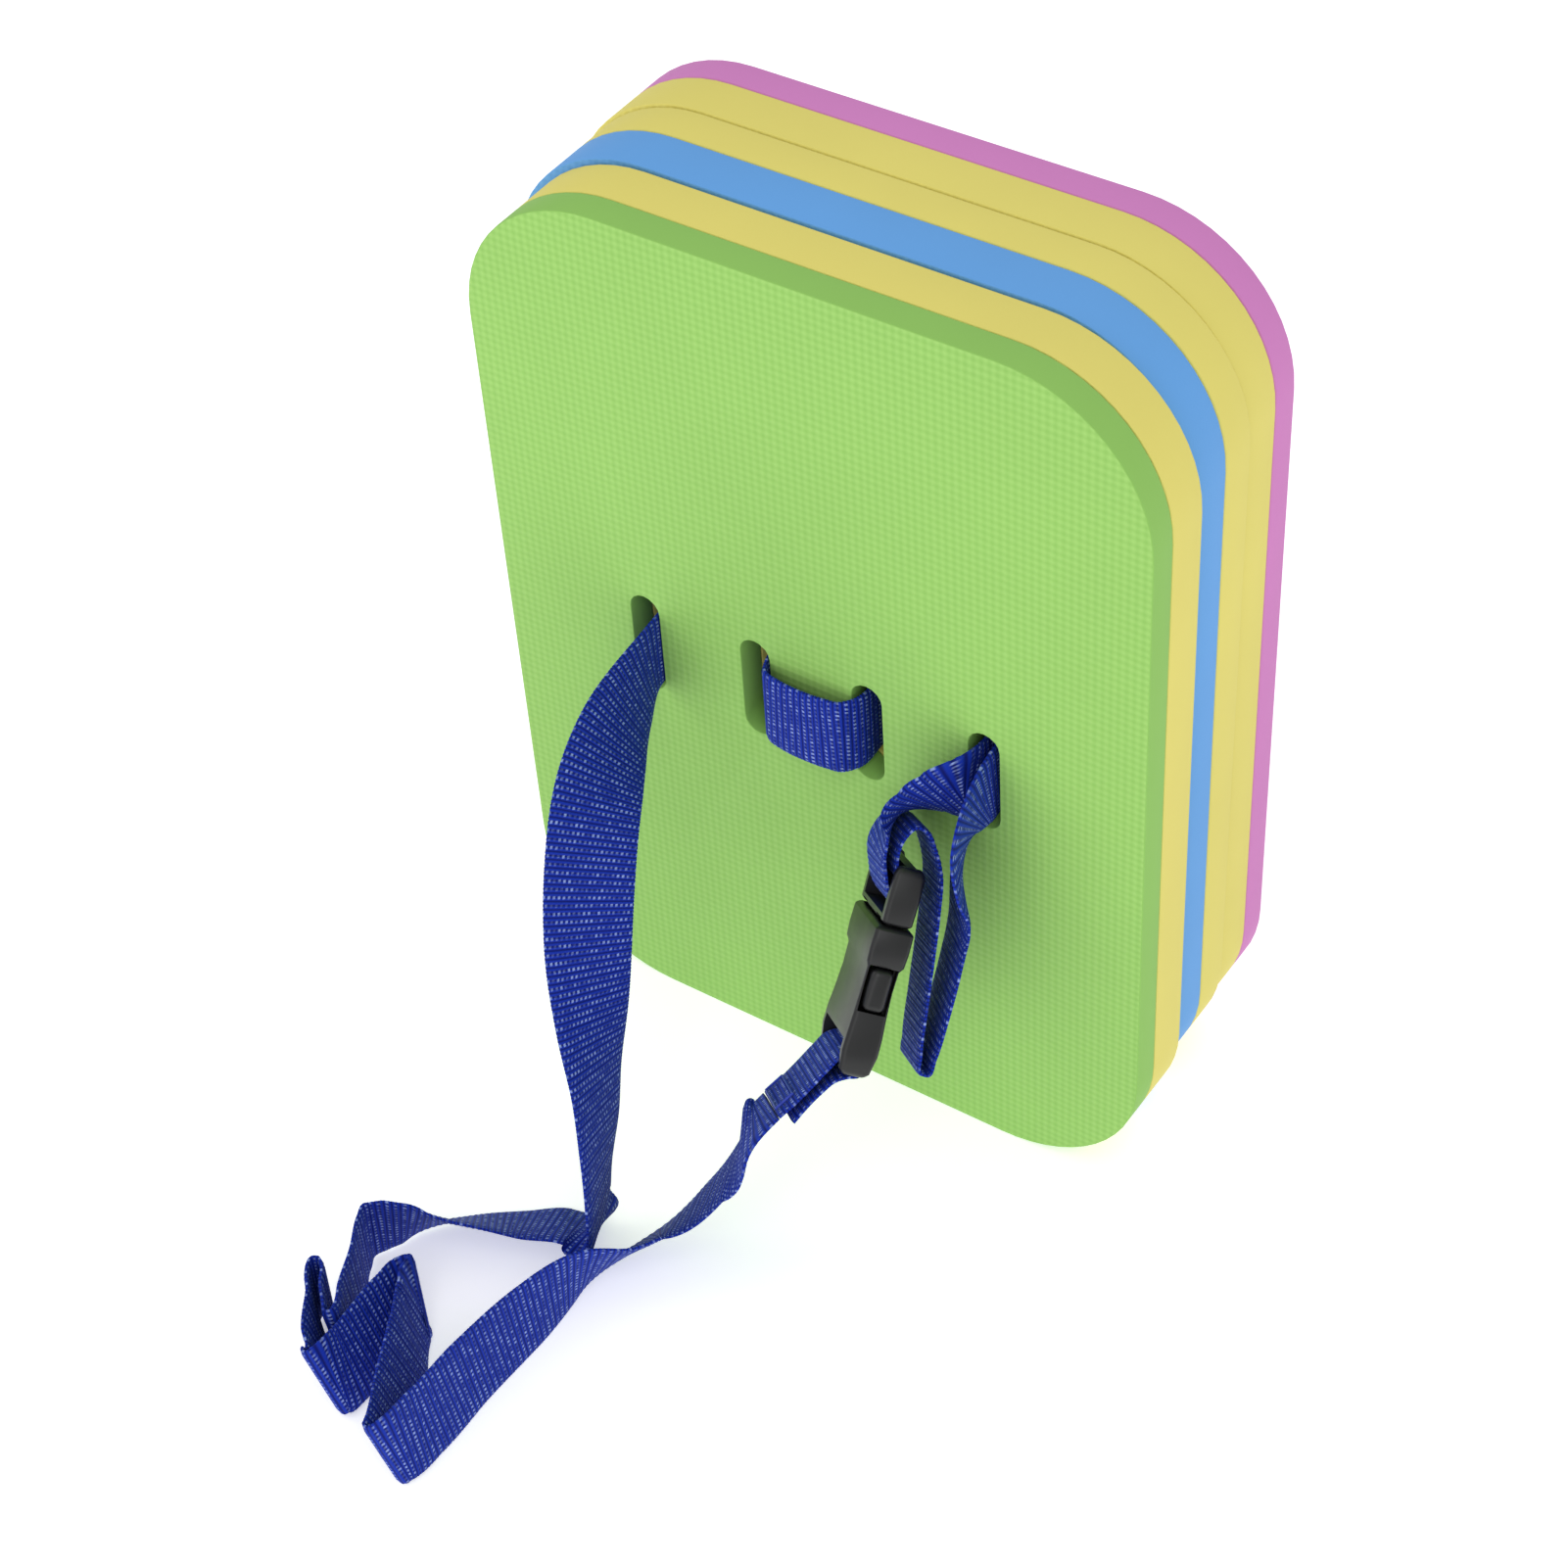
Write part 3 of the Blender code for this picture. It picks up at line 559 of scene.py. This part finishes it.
SEWN_END = (
    on_buckle(0.0116, -0.0165),
    on_buckle(0.0096, -0.0122),
    on_buckle(0.0068, -0.0072),
    on_buckle(0.0034, -0.0026),
    on_buckle(0.0006, -0.0010),
    on_buckle(-0.0022, 0.0000),
    on_buckle(-0.0036, 0.0024),
    on_buckle(-0.0026, 0.0050),
    on_buckle(0.0004, 0.0060),
    on_buckle(0.0036, 0.0044),
    on_buckle(0.0064, 0.0000),
    on_buckle(0.0092, -0.0052),
    on_buckle(0.0124, -0.0108),
    on_buckle(0.0158, -0.0160),
)
FLOOR_RUN = (
    on_buckle(0.0160, -0.0164),
    on_buckle(0.0188, -0.0214),
    at(0.0215, -0.1175, 0.0370, (0.42, -0.88, 0.20)),
    at(0.0130, -0.1228, 0.0215, (0.32, -0.92, 0.23)),
    at(0.0055, -0.1310, 0.0132, (0.32, -0.74, 0.58)),
    at(0.0000, -0.1420, 0.0115, (0.38, -0.52, 0.76)),
    at(-0.0060, -0.1560, 0.0128, (0.07, -0.40, 0.91)),
    at(-0.0095, -0.1760, 0.0130, (-0.16, -0.32, 0.93)),
    at(-0.0115, -0.1990, 0.0130, (-0.22, -0.30, 0.92)),
    at(-0.0115, -0.2180, 0.0133, (-0.25, -0.15, 0.95)),
    *fold((-0.0145, -0.2315, 0.0133), (-0.25, -0.12, 0.95), (-0.1, -1.0, 0.0), -1),
    at(-0.0225, -0.2190, 0.0128, (-0.28, -0.10, 0.95)),
    at(-0.0310, -0.2020, 0.0131, (-0.34, 0.02, 0.93)),
    at(-0.0372, -0.1918, 0.0131, (-0.38, 0.22, 0.89)),
    *fold((-0.0410, -0.1868, 0.0122), (-0.40, 0.34, 0.85), (0.0, 1.0, 0.4), 1),
    at(-0.0432, -0.1945, 0.0120, (-0.40, 0.22, 0.88)),
    at(-0.0424, -0.2055, 0.0126, (-0.38, 0.08, 0.91)),
    at(-0.0418, -0.2150, 0.0130, (-0.36, -0.06, 0.93)),
    *fold((-0.0437, -0.2215, 0.0134), (-0.34, -0.06, 0.93), (0.0, -1.0, 0.0), -1),
    at(-0.0510, -0.2165, 0.0134, (-0.26, -0.05, 0.96)),
    at(-0.0590, -0.2075, 0.0134, (-0.10, -0.02, 0.98)),
    *fold((-0.0648, -0.1988, 0.0134), (0.0, 0.0, 1.0), (-0.63, 0.78, 0.0), -1),
    at(-0.0580, -0.2035, 0.0134, (-0.08, 0.00, 0.99)),
    at(-0.0530, -0.2078, 0.0134, (-0.14, 0.00, 0.99)),
    *fold((-0.0494, -0.2092, 0.0134), (-0.16, 0.00, 0.98), (0.6, -0.8, 0.0), 1, 0.0014),
    at(-0.0530, -0.2010, 0.0134, (-0.10, 0.00, 0.99)),
    at(-0.0592, -0.1890, 0.0134, (0.00, -0.05, 0.99)),
    at(-0.0650, -0.1790, 0.0134, (0.04, -0.08, 0.99)),
    at(-0.0664, -0.1748, 0.0134, (0.05, -0.10, 0.99)),
    at(-0.0640, -0.1712, 0.0134, (0.06, -0.14, 0.98)),
    at(-0.0600, -0.1675, 0.0130, (0.12, -0.24, 0.95)),
    at(-0.0560, -0.1635, 0.0122, (0.25, -0.42, 0.87)),
    at(-0.0440, -0.1545, 0.0105, (0.44, -0.58, 0.68)),
    at(-0.0330, -0.1475, 0.0090, (0.47, -0.69, 0.55)),
    at(-0.0235, -0.1425, 0.0096, (0.46, -0.74, 0.48)),
    at(-0.0165, -0.1402, 0.0092, (0.42, -0.78, 0.46)),
    at(-0.0124, -0.1395, 0.0118, (0.40, -0.84, 0.36)),
    at(-0.0112, -0.1390, 0.0190, (0.38, -0.88, 0.28)),
    at(-0.0110, -0.1375, 0.0300, (0.34, -0.91, 0.20)),
    at(-0.0116, -0.1340, 0.0460, (0.22, -0.96, 0.10)),
    at(-0.0142, -0.1290, 0.0650, (0.10, -0.98, 0.05)),
    at(-0.0180, -0.1232, 0.0830, (-0.20, -0.97, 0.04)),
    at(-0.0230, -0.1155, 0.1000, (-0.48, -0.87, 0.05)),
    at(-0.0285, -0.1050, 0.1155, (-0.64, -0.74, 0.15)),
    at(-0.0350, -0.0910, 0.1275, (-0.66, -0.60, 0.35)),
    at(-0.0413, -0.0750, 0.1330, (-0.52, -0.46, 0.68)),
    at(-0.0462, -0.0585, 0.1356, (-0.26, -0.24, 0.93)),
    at(-0.0492, -0.0430, 0.1380),
    at(-0.0505, -0.0280, 0.1380),
)
LEFT_REAR_SPAN = (
    at(-0.0505, -0.0277, 0.1380),
    at(-0.0532, -0.0160, 0.1380),
    at(-0.0545, -0.0060, 0.1380),
    at(-0.0550, 0.0160, 0.1380),
    at(-0.0558, 0.0360, 0.1380),
    at(-0.0556, 0.0475, 0.1380),
    at(-0.0520, 0.0530, 0.1380),
    at(-0.0440, 0.0550, 0.1380),
    at(-0.0330, 0.0550, 0.1380),
    at(-0.0250, 0.0530, 0.1380),
    at(-0.0214, 0.0475, 0.1380),
    at(-0.0212, 0.0360, 0.1380),
    at(-0.0195, 0.0160, 0.1380),
    at(-0.0168, -0.0060, 0.1380),
    at(-0.0135, -0.0277, 0.1380),
)
FRONT_BRIDGE = (
    at(-0.0135, -0.0280, 0.1380),
    at(-0.0130, -0.0385, 0.1380),
    at(-0.0108, -0.0432, 0.1380),
    at(-0.0050, -0.0448, 0.1378),
    at(0.0020, -0.0452, 0.1377),
    at(0.0090, -0.0449, 0.1378),
    at(0.0140, -0.0440, 0.1380),
    at(0.0167, -0.0408, 0.1380),
    at(0.0173, -0.0280, 0.1380),
)
RIGHT_REAR_SPAN = (
    at(0.0173, -0.0277, 0.1380),
    at(0.0169, -0.0060, 0.1380),
    at(0.0164, 0.0160, 0.1380),
    at(0.0160, 0.0360, 0.1380),
    at(0.0162, 0.0475, 0.1380),
    at(0.0198, 0.0530, 0.1380),
    at(0.0280, 0.0550, 0.1380),
    at(0.0400, 0.0550, 0.1380),
    at(0.0475, 0.0530, 0.1380),
    at(0.0508, 0.0475, 0.1380),
    at(0.0510, 0.0360, 0.1380),
    at(0.0516, 0.0160, 0.1380),
    at(0.0530, -0.0060, 0.1380),
    at(0.0548, -0.0277, 0.1380),
)
ADJUSTER_STRAND = (
    at(0.0548, -0.0280, 0.1380),
    at(0.0548, -0.0395, 0.1380),
    at(0.0532, -0.0455, 0.1388, (0.04, -0.08, 0.99)),
    at(0.0494, -0.0482, 0.1365, (0.16, -0.22, 0.96)),
    at(0.0444, -0.0502, 0.1335, (0.30, -0.38, 0.87)),
    at(0.0375, -0.0532, 0.1282, (0.50, -0.50, 0.70)),
    at(0.0353, -0.0574, 0.1226, (0.60, -0.54, 0.60)),
    on_buckle(0.0072, 0.0590),
    on_buckle(0.0058, 0.0550),
    on_buckle(0.0038, 0.0508),
    on_buckle(0.0016, 0.0484),
    on_buckle(-0.0010, 0.0479),
    on_buckle(-0.0031, 0.0494),
    on_buckle(-0.0034, 0.0518),
    on_buckle(-0.0022, 0.0538),
    on_buckle(0.0002, 0.0545),
    on_buckle(0.0022, 0.0555),
    on_buckle(0.0036, 0.0585),
    on_buckle(0.0042, 0.0622),
    on_buckle(0.0034, 0.0665),
    on_buckle(0.0010, 0.0697),
    on_buckle(-0.0020, 0.0690),
    on_buckle(-0.0054, 0.0649),
    on_buckle(-0.0091, 0.0580),
    on_buckle(-0.0111, 0.0490),
    on_buckle(-0.0132, 0.0362),
    on_buckle(-0.0152, 0.0226),
    on_buckle(-0.0174, 0.0090),
    on_buckle(-0.0186, 0.0046),
    on_buckle(-0.0208, 0.0045),
    on_buckle(-0.0215, 0.0095),
    on_buckle(-0.0215, 0.0214, 0.0008),
    on_buckle(-0.0208, 0.0340, 0.0022),
    on_buckle(-0.0196, 0.0450, 0.0036),
    at(0.0585, -0.0550, 0.1110, (0.62, -0.68, 0.40)),
    at(0.0588, -0.0552, 0.1205, (0.45, -0.80, 0.40)),
    at(0.0590, -0.0530, 0.1290, (0.22, -0.74, 0.62)),
    at(0.0592, -0.0455, 0.1356, (0.05, -0.42, 0.90)),
    at(0.0588, -0.0335, 0.1382, (0.00, -0.08, 1.00)),
    at(0.0578, -0.0190, 0.1384),
    at(0.0570, -0.0060, 0.1385),
)


def smooth_route(stations: tuple[Station, ...], step: float) -> list[Station]:
    """Read places off a smooth curve through a route.

    Args:
        stations: The route's own places.
        step: The distance between two places read.

    Returns:
        Places close enough together to loft.
    """
    gaps = [(b[0] - a[0]).length for a, b in zip(stations, stations[1:])]
    slopes = [station_slope(stations, gaps, i) for i in range(len(stations))]
    route = []
    for i, gap in enumerate(gaps):
        pieces = max(2, round(gap / step))
        for k in range(pieces):
            t = k / pieces
            point, width = (
                hermite(stations[i][j], stations[i + 1][j], slopes[i][j] * gap, slopes[i + 1][j] * gap, t)
                for j in (0, 1)
            )
            route.append((point, width))
    route.append(stations[-1])
    return route


def station_slope(stations: tuple[Station, ...], gaps: list[float], i: int) -> list[Vector]:
    """How fast the place and the width change along the route at station i."""
    if i == 0 or i == len(gaps):
        k = min(i, len(gaps) - 1)
        return [(stations[k + 1][j] - stations[k][j]) / gaps[k] for j in (0, 1)]
    before, after = gaps[i - 1], gaps[i]
    slopes = []
    for j in (0, 1):
        left = (stations[i][j] - stations[i - 1][j]) / before
        right = (stations[i + 1][j] - stations[i][j]) / after
        slopes.append((left * after + right * before) / (before + after))
    return slopes


def hermite(a: Vector, b: Vector, slope_a: Vector, slope_b: Vector, t: float) -> Vector:
    """Cubic between a and b with the given end slopes."""
    ease = t * t * (3 - 2 * t)
    return a * (1 - ease) + b * ease + slope_a * t * (1 - t) ** 2 - slope_b * t * t * (1 - t)


# ---------------------------------------------------------------- belt


@dataclass(frozen=True)
class Stretch:
    """One stretch of the belt."""

    node: str
    route: tuple[Station, ...]
    body: str = "root"
    lay: str = "loose"


@dataclass
class Belt:
    """The waist belt: 25 mm webbing with beaded edges and ribs across it."""

    width: float = 25 * MM
    thickness: float = 1.4 * MM
    step: float = 0.4 * MM
    columns: int = 14
    rib: float = 0.09 * MM
    rib_pitch: float = 1.6 * MM
    bead: float = 0.22 * MM
    bead_pitch: float = 1.3 * MM
    bead_from: float = 0.86
    cord_widths: float = 8.0
    path_stride: int = 5

    def build(self) -> None:
        """Weave every stretch, then sew the end."""
        finish = WebbingFinish().build()
        for stretch in (
            Stretch("belt_sewn_end", SEWN_END, "buckle_socket", "taut"),
            Stretch("belt_floor_run", FLOOR_RUN),
            Stretch("belt_left_rear_span", LEFT_REAR_SPAN, "root", "taut"),
            Stretch("belt_front_bridge", FRONT_BRIDGE, "root", "taut"),
            Stretch("belt_right_rear_span", RIGHT_REAR_SPAN, "root", "taut"),
            Stretch("belt_adjuster_strand", ADJUSTER_STRAND),
        ):
            self.stretch(stretch, finish)
        self.stitching()

    def stretch(self, stretch: Stretch, finish: bpy.types.Material) -> None:
        """Make and dress one stretch.

        Args:
            stretch: Which stretch of the belt.
            finish: The webbing's material.
        """
        route = smooth_route(stretch.route, self.step)
        piece = self.band(f"{stretch.node}_webbing", route)
        dress(piece, finish)
        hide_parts(stretch.node)
        if stretch.node == "belt_floor_run":
            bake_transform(piece)
            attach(piece, "root")
        else:
            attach(piece, stretch.body)

    def profile(self, along: float) -> list[tuple[float, float]]:
        """The band's section at one place.

        Args:
            along: The distance from the start of the stretch.

        Returns:
            Points across and out of the band, once round.
        """
        rib = self.rib * math.cos(2 * math.pi * along / self.rib_pitch)
        bead = self.bead * math.cos(2 * math.pi * along / self.bead_pitch)
        section = []
        for face in (-1, 1):
            for k in range(self.columns + 1):
                share = -1 + 2 * k / self.columns
                share *= -face
                near_edge = max(0.0, (abs(share) - self.bead_from) / (1 - self.bead_from))
                across = share * self.width / 2
                across += math.copysign(bead, share) * near_edge
                thin = math.sqrt(max(0.0, 1 - 0.8 * near_edge**2))
                section.append((across, face * (self.thickness / 2 * thin + rib * (1 - near_edge))))
        return section

    def band(self, name: str, route: list[Station]) -> bpy.types.Object:
        """Loft the band along its route, with a UV map in metres.

        Args:
            name: The piece's name.
            route: Places close together.

        Returns:
            The band as a closed mesh.
        """
        mesh = bmesh.new()
        uv = mesh.loops.layers.uv.new("band")
        rings, marks, along = [], [], 0.0
        for i, (point, width) in enumerate(route):
            before = route[max(i - 1, 0)][0]
            after = route[min(i + 1, len(route) - 1)][0]
            if i:
                along += (point - before).length
            forward = (after - before).normalized()
            across = (width - forward * width.dot(forward)).normalized()
            out = forward.cross(across)
            section = self.profile(along)
            rings.append([mesh.verts.new(point + across * a + out * b) for a, b in section])
            marks.append((along, [a for a, _ in section]))
        count = len(rings[0])
        for (ring, (u0, v0)), (following, (u1, v1)) in zip(
            zip(rings, marks), zip(rings[1:], marks[1:])
        ):
            for k in range(count):
                n = (k + 1) % count
                face = mesh.faces.new((ring[k], ring[n], following[n], following[k]))
                for loop, place in zip(face.loops, ((u0, v0[k]), (u0, v0[n]), (u1, v1[n]), (u1, v1[k]))):
                    loop[uv].uv = place
        mesh.faces.new(rings[0][::-1])
        mesh.faces.new(rings[-1])
        bmesh.ops.recalc_face_normals(mesh, faces=mesh.faces)
        data = bpy.data.meshes.new(name)
        mesh.to_mesh(data)
        mesh.free()
        piece = bpy.data.objects.new(name, data)
        bpy.context.scene.collection.objects.link(piece)
        only(piece)
        bpy.ops.object.shade_smooth_by_angle(angle=math.radians(55))
        return piece

    def stitching(self) -> None:
        """Give the box of thread on the sewn end its finish."""
        dress(frame["nodes"]["sewn_end_stitching"], ThreadFinish().build())


# ---------------------------------------------------------------- buckle


@dataclass(frozen=True)
class Hollow:
    """A box cut out of a moulding: two corners in the buckle's frame, in millimetres."""

    low: tuple[float, float, float]
    high: tuple[float, float, float]


class Buckle:
    """The side-release buckle: a socket, an insert and its two prongs.

    Everything is given in millimetres in the buckle's frame: x is out of its face, y is
    across it and z runs up its length.
    """

    # Height, half depth and half width of each station, from the foot to the top.
    socket_stations = (
        (0.0, 3.0, 14.6),
        (1.6, 4.3, 15.8),
        (7.0, 5.1, 16.4),
        (12.0, 5.0, 16.2),
        (17.0, 4.7, 15.6),
        (24.5, 4.4, 15.1),
        (30.6, 4.5, 15.3),
        (32.2, 5.3, 16.3),
        (36.0, 5.5, 16.5),
        (41.2, 5.4, 16.5),
        (42.4, 4.7, 16.0),
    )
    insert_stations = (
        (42.7, 3.5, 15.9),
        (43.8, 4.2, 16.4),
        (50.0, 4.3, 16.5),
        (56.8, 4.2, 16.3),
        (58.4, 3.6, 15.6),
        (59.0, 2.7, 14.8),
    )
    socket_hollows = (
        Hollow((-3.6, -14.0, 13.0), (3.6, 14.0, 50.0)),
        Hollow((-10.0, -13.2, 4.0), (10.0, 13.2, 9.8)),
        Hollow((1.8, -13.2, -5.0), (10.0, 13.2, 6.0)),
        Hollow((-10.0, -13.2, -5.0), (-1.8, 13.2, 6.0)),
        Hollow((-10.0, -13.2, -5.0), (10.0, 13.2, 1.0)),
        Hollow((-4.0, 12.0, 18.2), (4.0, 20.0, 31.3)),
        Hollow((-4.0, -20.0, 18.2), (4.0, -12.0, 31.3)),
    )
    insert_hollows = (
        Hollow((-10.0, -13.2, 45.2), (10.0, 13.2, 50.2)),
        Hollow((-10.0, -13.2, 52.7), (10.0, 13.2, 56.6)),
        Hollow((1.5, -13.2, 45.2), (10.0, 13.2, 60.0)),
        Hollow((-10.0, -13.2, 45.2), (-1.5, 13.2, 60.0)),
        Hollow((-10.0, 6.8, 40.0), (10.0, 12.8, 44.1)),
        Hollow((-10.0, -12.8, 40.0), (10.0, -6.8, 44.1)),
    )
    guide = Hollow((-1.6, -3.0, 16.5), (1.6, 3.0, 44.0))
    arm = Hollow((-1.5, 8.3, 27.7), (1.5, 11.3, 43.7))
    button = Hollow((-3.1, 8.8, 18.8), (3.1, 16.8, 30.7))
    shell_round = 1.3
    button_round = 1.9
    small_round = 0.4

    def build(self) -> None:
        """Model and dress every moulding."""
        finish = AcetalFinish().build()
        socket = self.column("socket_moulding", self.socket_stations, self.shell_round)
        self.cut(socket, self.socket_hollows)
        insert = self.column("insert_moulding", self.insert_stations, self.shell_round)
        self.cut(insert, self.insert_hollows)
        insert = self.join("insert_moulding", (insert, self.block(self.guide, self.small_round)))
        mouldings = {
            "buckle_socket": (socket, "buckle_socket"),
            "buckle_insert": (insert, "root"),
            "buckle_near_prong": (self.prong("near_prong_moulding", 1), "near_prong"),
            "buckle_far_prong": (self.prong("far_prong_moulding", -1), "far_prong"),
        }
        for node, (piece, body) in mouldings.items():
            self.place(piece)
            dress(piece, finish)
            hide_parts(node)
            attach(piece, body)
            log.info("%s on %s", piece.name, body)

    @staticmethod
    def column(
        name: str, stations: tuple[tuple[float, float, float], ...], rounding: float
    ) -> bpy.types.Object:
        """Draw a flat column up through its stations and round its edges.

        Args:
            name: The piece's name.
            stations: Height, half depth and half width, in millimetres.
            rounding: The radius of its edges, in millimetres.

        Returns:
            The piece, in the buckle's frame.
        """
        foot, depth, width = stations[0]
        bpy.ops.mesh.primitive_plane_add(size=2 * MM, location=(0.0, 0.0, foot * MM))
        piece = bpy.context.view_layer.objects.active
        piece.name = name
        bpy.ops.object.transform_apply(location=True, rotation=False, scale=False)
        bpy.ops.object.mode_set(mode="EDIT")
        bpy.ops.mesh.select_all(action="SELECT")
        bpy.ops.transform.resize(value=(depth, width, 1.0))
        for (z, d, w), (next_z, next_d, next_w) in zip(stations, stations[1:]):
            bpy.ops.mesh.extrude_region_move(
                TRANSFORM_OT_translate={"value": (0.0, 0.0, (next_z - z) * MM)}
            )
            bpy.ops.transform.resize(value=(next_d / d, next_w / w, 1.0))
        bpy.ops.mesh.select_all(action="SELECT")
        bpy.ops.mesh.normals_make_consistent(inside=False)
        bpy.ops.mesh.select_all(action="DESELECT")
        bpy.ops.mesh.select_mode(type="EDGE")
        bpy.ops.mesh.edges_select_sharp(sharpness=math.radians(50))
        bpy.ops.mesh.bevel(offset=rounding * MM, segments=4, profile=0.5, clamp_overlap=True)
        bpy.ops.object.mode_set(mode="OBJECT")
        return piece

    @staticmethod
    def block(box: Hollow, rounding: float = 0.0) -> bpy.types.Object:
        """Make a box, its edges rounded by the given millimetres."""
        centre = [(a + b) / 2 * MM for a, b in zip(box.low, box.high)]
        bpy.ops.mesh.primitive_cube_add(size=1.0, location=centre)
        piece = bpy.context.view_layer.objects.active
        piece.scale = [(b - a) * MM for a, b in zip(box.low, box.high)]
        bpy.ops.object.transform_apply(location=True, rotation=False, scale=True)
        if rounding:
            bpy.ops.object.mode_set(mode="EDIT")
            bpy.ops.mesh.select_all(action="SELECT")
            bpy.ops.mesh.bevel(offset=rounding * MM, segments=5, profile=0.5)
            bpy.ops.object.mode_set(mode="OBJECT")
        return piece

    def cut(self, piece: bpy.types.Object, hollows: tuple[Hollow, ...]) -> None:
        """Cut every hollow out of a piece."""
        for hollow in hollows:
            cutter = self.block(hollow)
            only(piece)
            modifier = piece.modifiers.new("hollow", "BOOLEAN")
            modifier.operation = "DIFFERENCE"
            modifier.object = cutter
            bpy.ops.object.modifier_apply(modifier=modifier.name)
            bpy.data.objects.remove(cutter, do_unlink=True)

    @staticmethod
    def join(name: str, pieces: tuple[bpy.types.Object, ...]) -> bpy.types.Object:
        """Join pieces of one moulding into the first of them."""
        only(pieces[0])
        for piece in pieces:
            piece.select_set(True)
        bpy.ops.object.join()
        joined = bpy.context.view_layer.objects.active
        joined.name = name
        return joined

    def prong(self, name: str, side: int) -> bpy.types.Object:
        """One sprung arm with its thumb button, on the near (1) or far (-1) side."""
        parts = (self.block(self.button, self.button_round), self.block(self.arm, self.small_round))
        piece = self.join(name, parts)
        if side < 0:
            only(piece)
            piece.rotation_euler = (0.0, 0.0, math.pi)
            bpy.ops.object.transform_apply(location=False, rotation=True, scale=False)
        return piece

    @staticmethod
    def place(piece: bpy.types.Object) -> None:
        """Turn a piece from the buckle's frame into the float's, and smooth its rounded edges."""
        piece.matrix_world = BUCKLE
        only(piece)
        bpy.ops.object.transform_apply(location=True, rotation=True, scale=True)
        bpy.ops.object.shade_smooth_by_angle(angle=math.radians(32))


# ---------------------------------------------------------------- studio


@dataclass
class Studio:
    """A pale floor, soft light and the camera."""

    target: tuple[float, float, float] = (-0.00955, -0.03965, 0.10558)
    azimuth: float = 36.77
    elevation: float = 43.31
    roll: float = -4.11
    distance: float = 1.0053
    lens: float = 82.04
    floor_size: float = 12.0
    lamp_aim: tuple[float, float, float] = (0.0, 0.0, 0.1)
    room_strength: float = 0.62
    floor_glow: float = 0.42

    def build(self) -> None:
        """Set up the floor, the lights and the camera."""
        self.floor()
        self.lights()
        self.camera()

    def camera(self) -> None:
        """Place the camera, turned a little about its own line of sight."""
        around, above = math.radians(self.azimuth), math.radians(self.elevation)
        tilt = math.radians(self.roll)
        back = Vector(
            (math.sin(around) * math.cos(above), -math.cos(around) * math.cos(above), math.sin(above))
        )
        level = Vector((math.cos(around), math.sin(around), 0.0))
        upright = back.cross(level)
        right = level * math.cos(tilt) + upright * math.sin(tilt)
        up = upright * math.cos(tilt) - level * math.sin(tilt)
        data = bpy.data.cameras.new("camera")
        data.lens = self.lens
        data.sensor_width = 36.0
        data.clip_end = 50.0
        camera = bpy.data.objects.new("camera", data)
        turned = Matrix((right, up, back)).transposed().to_4x4()
        turned.translation = Vector(self.target) + back * self.distance
        camera.matrix_world = turned
        bpy.context.scene.collection.objects.link(camera)
        bpy.context.scene.camera = camera

    def floor(self) -> None:
        """Lay a plain pale floor."""
        bpy.ops.mesh.primitive_plane_add(size=self.floor_size, location=(0.0, 0.0, 0.0))
        floor = bpy.context.view_layer.objects.active
        floor.name = "studio_floor"
        material, _, shader = new_material("white_paper_sweep")
        shader.inputs["Base Color"].default_value = linear("FBFBFB")
        shader.inputs["Roughness"].default_value = 0.9
        shader.inputs["Specular IOR Level"].default_value = 0.1
        shader.inputs["Emission Color"].default_value = (1.0, 1.0, 1.0, 1.0)
        shader.inputs["Emission Strength"].default_value = self.floor_glow
        dress(floor, material)

    def lights(self) -> None:
        """Hang soft lamps over, before and beside the float, under a bright room."""
        world = bpy.data.worlds.new("studio_room")
        world.use_nodes = True
        room = world.node_tree.nodes["Background"]
        room.inputs["Color"].default_value = (1.0, 1.0, 1.0, 1.0)
        room.inputs["Strength"].default_value = self.room_strength
        bpy.context.scene.world = world
        lamps = (
            ("key_lamp", (0.9, -1.2, 1.9), 1.4, 11.0),
            ("fill_lamp", (-1.5, -0.8, 1.3), 1.6, 5.5),
            ("front_lamp", (0.1, -1.8, 0.6), 1.2, 4.5),
            ("back_lamp", (0.3, 1.6, 1.6), 1.4, 6.0),
        )
        for name, place, size, power in lamps:
            data = bpy.data.lights.new(name, "AREA")
            data.size = size
            data.energy = power
            lamp = bpy.data.objects.new(name, data)
            lamp.location = place
            aim = Vector(self.lamp_aim) - Vector(place)
            lamp.rotation_euler = aim.to_track_quat("-Z", "Y").to_euler()
            bpy.context.scene.collection.objects.link(lamp)
        bpy.context.scene.view_settings.view_transform = "Standard"


def main() -> None:
    """Build every sub-assembly in order."""
    logging.basicConfig(level=logging.INFO)
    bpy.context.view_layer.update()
    Studio().build()
    Belt().build()
    FoamBoards().build()
    Buckle().build()


if __name__ == "__main__":
    main()
